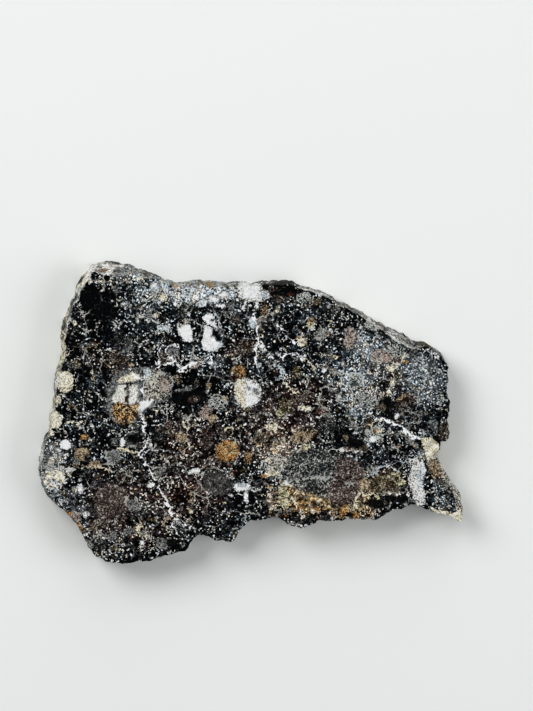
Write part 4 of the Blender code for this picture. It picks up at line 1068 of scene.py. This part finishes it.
# Grain: noises of three sizes, each centred, divided by its spread and added by its weight.
def addGrain(tree, place, look):
    grain, layers = 0.0, []
    for size, weight in look["grain"]:
        layers.append(addNode(tree, "TexNoise", {}, {
            "Vector": place, "Scale": 1 / size, "Detail": 0.0})[0])
        steps = weight / look["noiseSpread"]
        below = addNode(tree, "Math", minus, [grain, 0.5 * steps])[0]
        grain = addNode(tree, "Math", timesPlus, [layers[-1], steps, below])[0]
    return grain, layers


# Cells of random shape: the distance from each one's middle, and three random numbers for it.
def addCells(tree, place, size):
    cells = addNode(tree, "TexVoronoi", {}, {"Vector": place, "Scale": 1 / size})
    return cells["Distance"], addNode(tree, "SeparateColor", {}, [cells["Color"]])


# A tint shaded by a lightness as the eye sees it, and held under the palest the stone gets.
def addShaded(tree, tint, shade, look):
    shade = addNode(tree, "Math", larger, [shade, look["darkest"]])[0]
    shade = addNode(tree, "Math", raised, [shade, eyePower])[0]
    shaded = addNode(tree, "VectorMath", scaled, {0: tint, "Scale": shade})[0]
    return addNode(tree, "VectorMath", smaller, [shaded, look["palest"]])[0]


# Both materials: the matrix, and over it specks, hairlines, fragments, veins and the rind's crust.
def brecciaMaterial(painted, look, rind=None):
    material, tree = newMaterial("weathered rind" if rind else "sawn breccia")
    point = {}  # what is painted on the points
    for name, values in painted.items():
        kind = "Fac" if values.ndim == 1 else "Color"
        point[name] = addNode(tree, "Attribute", {"attribute_name": name}, {})[kind]
    place = addNode(tree, "TexCoord", {}, {})["Object"]
    inMm = addNode(tree, "Mapping", {}, {"Vector": place, "Scale": (1 / mm, 1 / mm, 1 / mm)})[0]
    drift = addNode(tree, "TexNoise", {}, {
        "Vector": inMm, "Scale": look["driftScale"], "Detail": 2.0})["Color"]
    drift = addNode(tree, "VectorMath", minus, [drift, (0.5, 0.5, 0.5)])[0]
    drift = addNode(tree, "VectorMath", scaled, {0: drift, "Scale": look["driftReach"]})[0]
    warped = addNode(tree, "VectorMath", plus, [inMm, drift])[0]
    grain, layers = addGrain(tree, warped, look)

    # how full of crystals: by the zone, and in clumps
    fuller = addNode(tree, "Math", timesPlus, [point["matrixGrit"], *look["gritLine"]])[0]
    barer = addNode(tree, "Math", timesPlus, [point["dullness"], *look["dullLine"]])[0]
    richness = addNode(tree, "Math", times, [fuller, barer])[0]
    clumps = addNode(tree, "TexNoise", {}, {
        "Vector": warped, "Scale": 1 / look["clumpSize"], "Detail": 2.0})[0]
    clumps = addNode(tree, "MapRange", smooth, [clumps, *look["clumpRange"]])[0]
    even = addNode(tree, "Math", times | clamped, [point["matrixGrit"], look["gritEvens"]])[0]
    clumps = addNode(tree, "Mix", {}, {0: even, 2: clumps, 3: 1.0})[0]
    richness = addNode(tree, "Math", times, [richness, clumps])[0]

    # small fragments: cells of random shade, and more or less full of crystals
    light = point["matrixLight"]
    hueChance = None  # the finest cells' third number picks their hue
    for size, darker, span in look["chips"]:
        _, chance = addCells(tree, warped, size)
        hueChance = hueChance or chance[2]
        skewed = addNode(tree, "Math", raised, [chance[0], look["chipSkew"]])[0]
        lower = addNode(tree, "Math", minus, [light, darker])[0]
        light = addNode(tree, "Math", timesPlus, [skewed, span, lower])[0]
        fuller = addNode(tree, "Math", timesPlus, [chance[1], *look["chipLine"]])[0]
        richness = addNode(tree, "Math", times, [fuller, richness])[0]

    # rounded fragments with a thin pale outline: discs of random size, shade and hue
    away, chance = addCells(tree, warped, look["roundSize"])
    away = addNode(tree, "Math", timesPlus, [layers[1], look["roundLump"], away])[0]
    radius = addNode(tree, "Math", timesPlus, [chance[0], *look["radiusLine"]])[0]
    inward = addNode(tree, "Math", minus, [radius, away])[0]
    roundMask = addNode(tree, "MapRange", smooth, [inward, *look["roundRange"]])[0]
    lift = addNode(tree, "Math", timesPlus, [chance[1], *look["roundLine"]])[0]
    light = addNode(tree, "Math", timesPlus, [roundMask, lift, light])[0]
    offEdge = addNode(tree, "Math", unsigned, [inward])[0]
    outline = addNode(tree, "MapRange", smooth, [offEdge, *look["outlineRange"]])[0]
    roundHue = addNode(tree, "ValToRGB", {"stops": look["roundHues"]}, [chance[2]])[0]

    # in the fine-grained fragments all of these fade away
    coarse = addNode(tree, "Math", minus, [1.0, point["fineness"]])[0]
    extra = addNode(tree, "Math", minus, [light, point["matrixLight"]])[0]
    light = addNode(tree, "Math", timesPlus, [extra, coarse, point["matrixLight"]])[0]
    for factor in (chance[1], coarse, barer):
        outline = addNode(tree, "Math", times, [outline, factor])[0]

    # thin bent crystals: where a noise passes its middle value, in short stretches
    bends = addNode(tree, "TexNoise", {}, {
        "Vector": warped, "Scale": 1 / look["wormSize"], "Detail": 1.0})[0]
    bends = addNode(tree, "Math", minus, [bends, 0.5])[0]
    bends = addNode(tree, "Math", unsigned, [bends])[0]
    worm = addNode(tree, "MapRange", smooth, [bends, *look["wormRange"]])[0]
    stretch = addNode(tree, "MapRange", smooth, [layers[1], *look["stretchRange"]])[0]
    for factor in (stretch, coarse):
        worm = addNode(tree, "Math", times, [worm, factor])[0]
    worm = addNode(tree, "Math", timesPlus, [worm, richness, outline])[0]

    # loose crystals: cells cut by the saw into discs, with a few bright and most of them dim
    shaded = addNode(tree, "Math", timesPlus | clamped, [grain, look["grainLight"], light])[0]
    dimness = addNode(tree, "MapRange", {}, [point["matrixGrit"], *look["dimRange"]])[0]
    lightness = addNode(tree, "Math", plus | clamped, [shaded, worm])[0]
    finest = look["crystals"][0][0]
    for size, width, bright in look["crystals"]:
        away, chance = addCells(tree, warped, size)
        away = addNode(tree, "Math", timesPlus, [layers[0], look["ragged"], away])[0]
        start = width + look["ragged"] / 2
        full = look["crystalCore"] * width + look["ragged"] / 2
        disc = addNode(tree, "MapRange", smooth, [away, start, full, 0.0, bright])[0]
        glow = addNode(tree, "Math", raised, [chance[0], dimness])[0]
        for factor in (disc, coarse) if size > finest else (disc,):
            glow = addNode(tree, "Math", times, [glow, factor])[0]
        lightness = addNode(tree, "Math", timesPlus | clamped, [glow, richness, lightness])[0]
    share = addNode(tree, "Math", raised, [lightness, eyePower])[0]
    paler = addNode(tree, "MapRange", {}, [lightness, *look["hueRange"]])[0]
    hue = addNode(tree, "Mix", ofColours, {
        0: paler, 6: point["groundHue"], 7: point["grainHue"]})[2]
    ownHue = addNode(tree, "ValToRGB", {"stops": look["chipHues"]}, [hueChance])[0]
    ownHue = addNode(tree, "Mix", ofColours, {0: roundMask, 6: ownHue, 7: roundHue})[2]
    hue = addNode(tree, "VectorMath", times, [hue, ownHue])[0]
    final = addNode(tree, "VectorMath", scaled, {0: hue, "Scale": share})[0]

    # the few large clean crystals
    away, chance = addCells(tree, warped, look["speckSize"])
    away = addNode(tree, "Math", timesPlus, [layers[0], look["speckRagged"], away])[0]
    disc = addNode(tree, "MapRange", smooth, [away, *look["speckRange"]])[0]
    few = addNode(tree, "MapRange", {}, [chance[1], *look["fewRange"]])[0]
    mask = addNode(tree, "Math", times, [disc, few])[0]
    tint = addNode(tree, "ValToRGB", {"stops": look["speckHues"]}, [chance[2]])[0]
    final = addNode(tree, "Mix", ofColours, {0: mask, 6: final, 7: tint})[2]

    # hairline cracks with a white filling: the edges of large warped cells, broken up
    hairs = addNode(tree, "TexVoronoi", {"feature": "DISTANCE_TO_EDGE"}, {
        "Vector": warped, "Scale": 1 / look["hairlineSize"]})["Distance"]
    hairs = addNode(tree, "MapRange", smooth, [hairs, *look["hairlineRange"]])[0]
    shown = addNode(tree, "TexNoise", {}, {"Vector": inMm} | look["hairlinePlaces"])[0]
    shown = addNode(tree, "MapRange", smooth, [shown, *look["shownRange"]])[0]
    mask = addNode(tree, "Math", times, [hairs, shown])[0]
    final = addNode(tree, "Mix", ofColours, {0: mask, 6: final, 7: look["hairlineColour"]})[2]

    # the larger fragments: frayed by the grain, shaded by it, and dimmer towards their edge
    frayed = addNode(tree, "Math", timesPlus, [grain, look["fraying"], point["clastEdge"]])[0]
    mask = addNode(tree, "MapRange", smooth, [frayed, *look["clastRange"]])[0]
    mask = addNode(tree, "Math", times, [mask, point["clastCover"]])[0]
    shade = addNode(tree, "MapRange", smooth, [frayed, *look["depthRange"]])[0]
    shade = addNode(tree, "Math", timesPlus, [grain, point["clastGrain"], shade])[0]
    clast = addShaded(tree, point["clastTint"], shade, look)
    bleached = addNode(tree, "MapRange", {}, [shade, *look["bleachRange"]])[0]
    clast = addNode(tree, "Mix", ofColours, {0: bleached, 6: clast, 7: look["bleachColour"]})[2]
    halo = addNode(tree, "MapRange", smooth, [frayed, *look["haloRange"]])[0]
    final = addNode(tree, "VectorMath", scaled, {0: final, "Scale": halo})[0]
    final = addNode(tree, "Mix", ofColours, {0: mask, 6: final, 7: clast})[2]

    # veins: a line where the signed distance passes zero, swerving, swelling and broken by noise
    swerve = point["veinSide"]
    for layer, weight in zip(layers, look["swerve"]):
        swerve = addNode(tree, "Math", timesPlus, [layer, weight, swerve])[0]
    swerve = addNode(tree, "Math", minus, [swerve, 0.5 * sum(look["swerve"])])[0]
    swerve = addNode(tree, "Math", unsigned, [swerve])[0]
    beads = addNode(tree, "Math", times, [layers[2], look["beads"][0]])[0]
    beads = addNode(tree, "Math", timesPlus, [layers[1], look["beads"][1], beads])[0]
    within = addNode(tree, "MapRange", {}, [beads, *look["swellRange"]])[0]
    within = addNode(tree, "Math", times, [point["veinWidth"], within])[0]
    within = addNode(tree, "Math", minus, [within, swerve])[0]
    within = addNode(tree, "MapRange", smooth, [within, *look["lineRange"]])[0]
    near = addNode(tree, "MapRange", smooth, [point["veinNear"], *look["nearRange"]])[0]
    mask = addNode(tree, "Math", times, [within, near])[0]
    final = addNode(tree, "Mix", ofColours, {0: mask, 6: final, 7: point["veinTint"]})[2]

    # the crust: patches of its own colour, shaded by their own grain and worn through by a noise
    if rind:
        crumbs, _ = addGrain(tree, inMm, rind)
        shade = addNode(tree, "Math", timesPlus, [crumbs, rind["grainLight"], 1.0])[0]
        crust = addShaded(tree, point["rindTint"], shade, rind)
        worn = addNode(tree, "TexNoise", {}, {"Vector": inMm} | rind["wornPlaces"])[0]
        most = addNode(tree, "MapRange", {}, [point["rindCover"], *rind["thickRange"]])[0]
        cover = addNode(tree, "MapRange", smooth, [
            worn, *rind["crustRange"], rind["thinnest"], most])[0]
        least = addNode(tree, "Math", times, [point["rindCover"], rind["patchShare"]])[0]
        cover = addNode(tree, "Math", larger, [cover, least])[0]
        final = addNode(tree, "Mix", ofColours, {0: cover, 6: final, 7: crust})[2]

    surface = rind or look
    rough = addNode(tree, "MapRange", {}, [lightness, *surface["roughRange"]])[0]
    rough = addNode(tree, "Math", timesPlus | clamped, [
        point["broken"], look["brokenRough"], rough])[0]
    bump = addNode(tree, "Bump", {}, {
        "Height": grain, "Strength": look["bumpStrength"], "Distance": surface["bump"]})[0]
    shader = addNode(tree, "BsdfPrincipled", {}, {
        "Base Color": final, "Roughness": rough, "Specular IOR Level": surface["specular"],
        "Normal": bump, "IOR": look["ior"]})[0]
    addNode(tree, "OutputMaterial", {}, {"Surface": shader})
    return material


# Puts the arrays into a mesh: points moved so that the middle of the box's base is the origin,
# quads and triangles as loops, the painted values as attributes, and the two materials.
def makeSliceObject(built, painted, materials):
    x, y, z = built["x"], built["y"], built["z"]
    middleX, middleY = (x.min() + x.max()) / 2, (y.min() + y.max()) / 2
    points = np.stack([x - middleX, y - middleY, z], 1) * mm
    quads, triangles = built["quads"], built["triangles"]
    corners = np.concatenate([quads.ravel(), triangles.ravel()]).astype(np.int32)
    starts = np.concatenate([np.arange(len(quads)) * 4, quads.size + np.arange(len(triangles)) * 3])
    mesh = bpy.data.meshes.new("meteorite stone")
    mesh.vertices.add(len(points))
    mesh.vertices.foreach_set("co", points.ravel().astype(np.float32))
    mesh.loops.add(len(corners))
    mesh.loops.foreach_set("vertex_index", corners)
    mesh.polygons.add(len(starts))
    mesh.polygons.foreach_set("loop_start", starts.astype(np.int32))
    mesh.polygons.foreach_set("material_index", built["onRim"])
    for name, values in painted.items():
        kind, field = ("FLOAT", "value") if values.ndim == 1 else ("FLOAT_COLOR", "color")
        if values.ndim > 1:
            values = np.concatenate([values, np.ones((len(values), 1))], 1)
        layer = mesh.attributes.new(name, kind, "POINT").data
        layer.foreach_set(field, values.ravel().astype(np.float32))
    for material in materials:
        mesh.materials.append(material)
    mesh.update(calc_edges=True)
    mesh.validate()
    mesh.shade_smooth()
    mesh.set_sharp_from_angle(angle=math.radians(sliceShape["sharpAngle"]))
    stone = bpy.data.objects.new("meteorite_stone", mesh)
    bpy.context.scene.collection.objects.link(stone)
    return stone, (middleX, middleY)


stone, faceMiddle = makeSliceObject(built, painted, [
    brecciaMaterial(painted, sawnBreccia), brecciaMaterial(painted, sawnBreccia, weatheredRind)])
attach(stone, "root")
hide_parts("meteorite_slice")
print("stone: middle of the outline at", round(faceMiddle[0], 2), round(faceMiddle[1], 2))

# The stage

studio = {
    "floorSize": 3.0,  # metres
    "floorColour": "#F7F9F7",
    "floorRoughness": 0.9,
    "floorSpecular": 0.1,
    "worldColour": "#EDF1F2",
    "worldStrength": 0.22,
    # name: place, size and power in watts
    "softboxes": {
        "key": ((-0.60, 0.55, 0.65), 0.6, 7.4),
        "fill": ((0.75, -0.10, 0.50), 0.7, 3.6),
        "back": ((0.15, 0.90, 0.45), 0.7, 2.6),
    },
}


# The floor of plain matt paper, the pale world round it, and soft square lights aimed at the slice.
def buildStage(look):
    mesh = bpy.data.meshes.new("floor")
    half = look["floorSize"] / 2
    corners = [(-half, -half, 0), (half, -half, 0), (half, half, 0), (-half, half, 0)]
    mesh.from_pydata(corners, [], [(0, 1, 2, 3)])
    floor = bpy.data.objects.new("floor", mesh)
    bpy.context.scene.collection.objects.link(floor)
    material, tree = newMaterial("plain paper")
    shader = addNode(tree, "BsdfPrincipled", {}, {
        "Base Color": look["floorColour"], "Roughness": look["floorRoughness"],
        "Specular IOR Level": look["floorSpecular"]})[0]
    addNode(tree, "OutputMaterial", {}, {"Surface": shader})
    mesh.materials.append(material)
    world = bpy.data.worlds.new("studio")
    world.use_nodes = True
    background = world.node_tree.nodes["Background"]
    background.inputs["Color"].default_value = (*linearColour(look["worldColour"]), 1.0)
    background.inputs["Strength"].default_value = look["worldStrength"]
    bpy.context.scene.world = world
    for name, (place, size, power) in look["softboxes"].items():
        light = bpy.data.lights.new(name, "AREA")
        light.shape = "SQUARE"
        light.size = size
        light.energy = power
        lamp = bpy.data.objects.new(name, light)
        lamp.location = place
        lamp.rotation_euler = (-Vector(place)).to_track_quat("-Z", "Y").to_euler()
        lamp.visible_camera = False
        bpy.context.scene.collection.objects.link(lamp)
    bpy.context.scene.view_settings.view_transform = "Standard"


# The camera looks down on the display face, leaning so that the top and left walls show.
cameraPlan = {
    "leanUp": 8.0,  # degrees towards +Y
    "leanLeft": 5.0,  # degrees towards -X
    "distance": 1.1,  # metres
    "viewHeight": 128.4,  # of the picture, at the display face
    "aim": (2.44, 10.76),  # the picture's middle on the display face, from the outline's zero
    "sensor": 36.0,
}


# The way to the camera is a unit vector whose X and Y are the sines of the two leans.
def buildCamera(plan, thickness, middle):
    data = bpy.data.cameras.new("camera")
    data.sensor_width = plan["sensor"]
    data.lens = plan["sensor"] * plan["distance"] / (plan["viewHeight"] * mm)
    camera = bpy.data.objects.new("camera", data)
    bpy.context.scene.collection.objects.link(camera)
    leanX = -math.sin(math.radians(plan["leanLeft"]))
    leanY = math.sin(math.radians(plan["leanUp"]))
    towards = Vector((leanX, leanY, math.sqrt(1.0 - leanX**2 - leanY**2)))
    aim = Vector((plan["aim"][0] - middle[0], plan["aim"][1] - middle[1], thickness)) * mm
    camera.location = aim + towards * plan["distance"]
    camera.rotation_mode = "QUATERNION"
    camera.rotation_quaternion = Vector((0.0, 0.0, 1.0)).rotation_difference(towards)
    bpy.context.scene.camera = camera


buildStage(studio)
buildCamera(cameraPlan, sliceShape["thickness"], faceMiddle)
print("stage and camera are set")
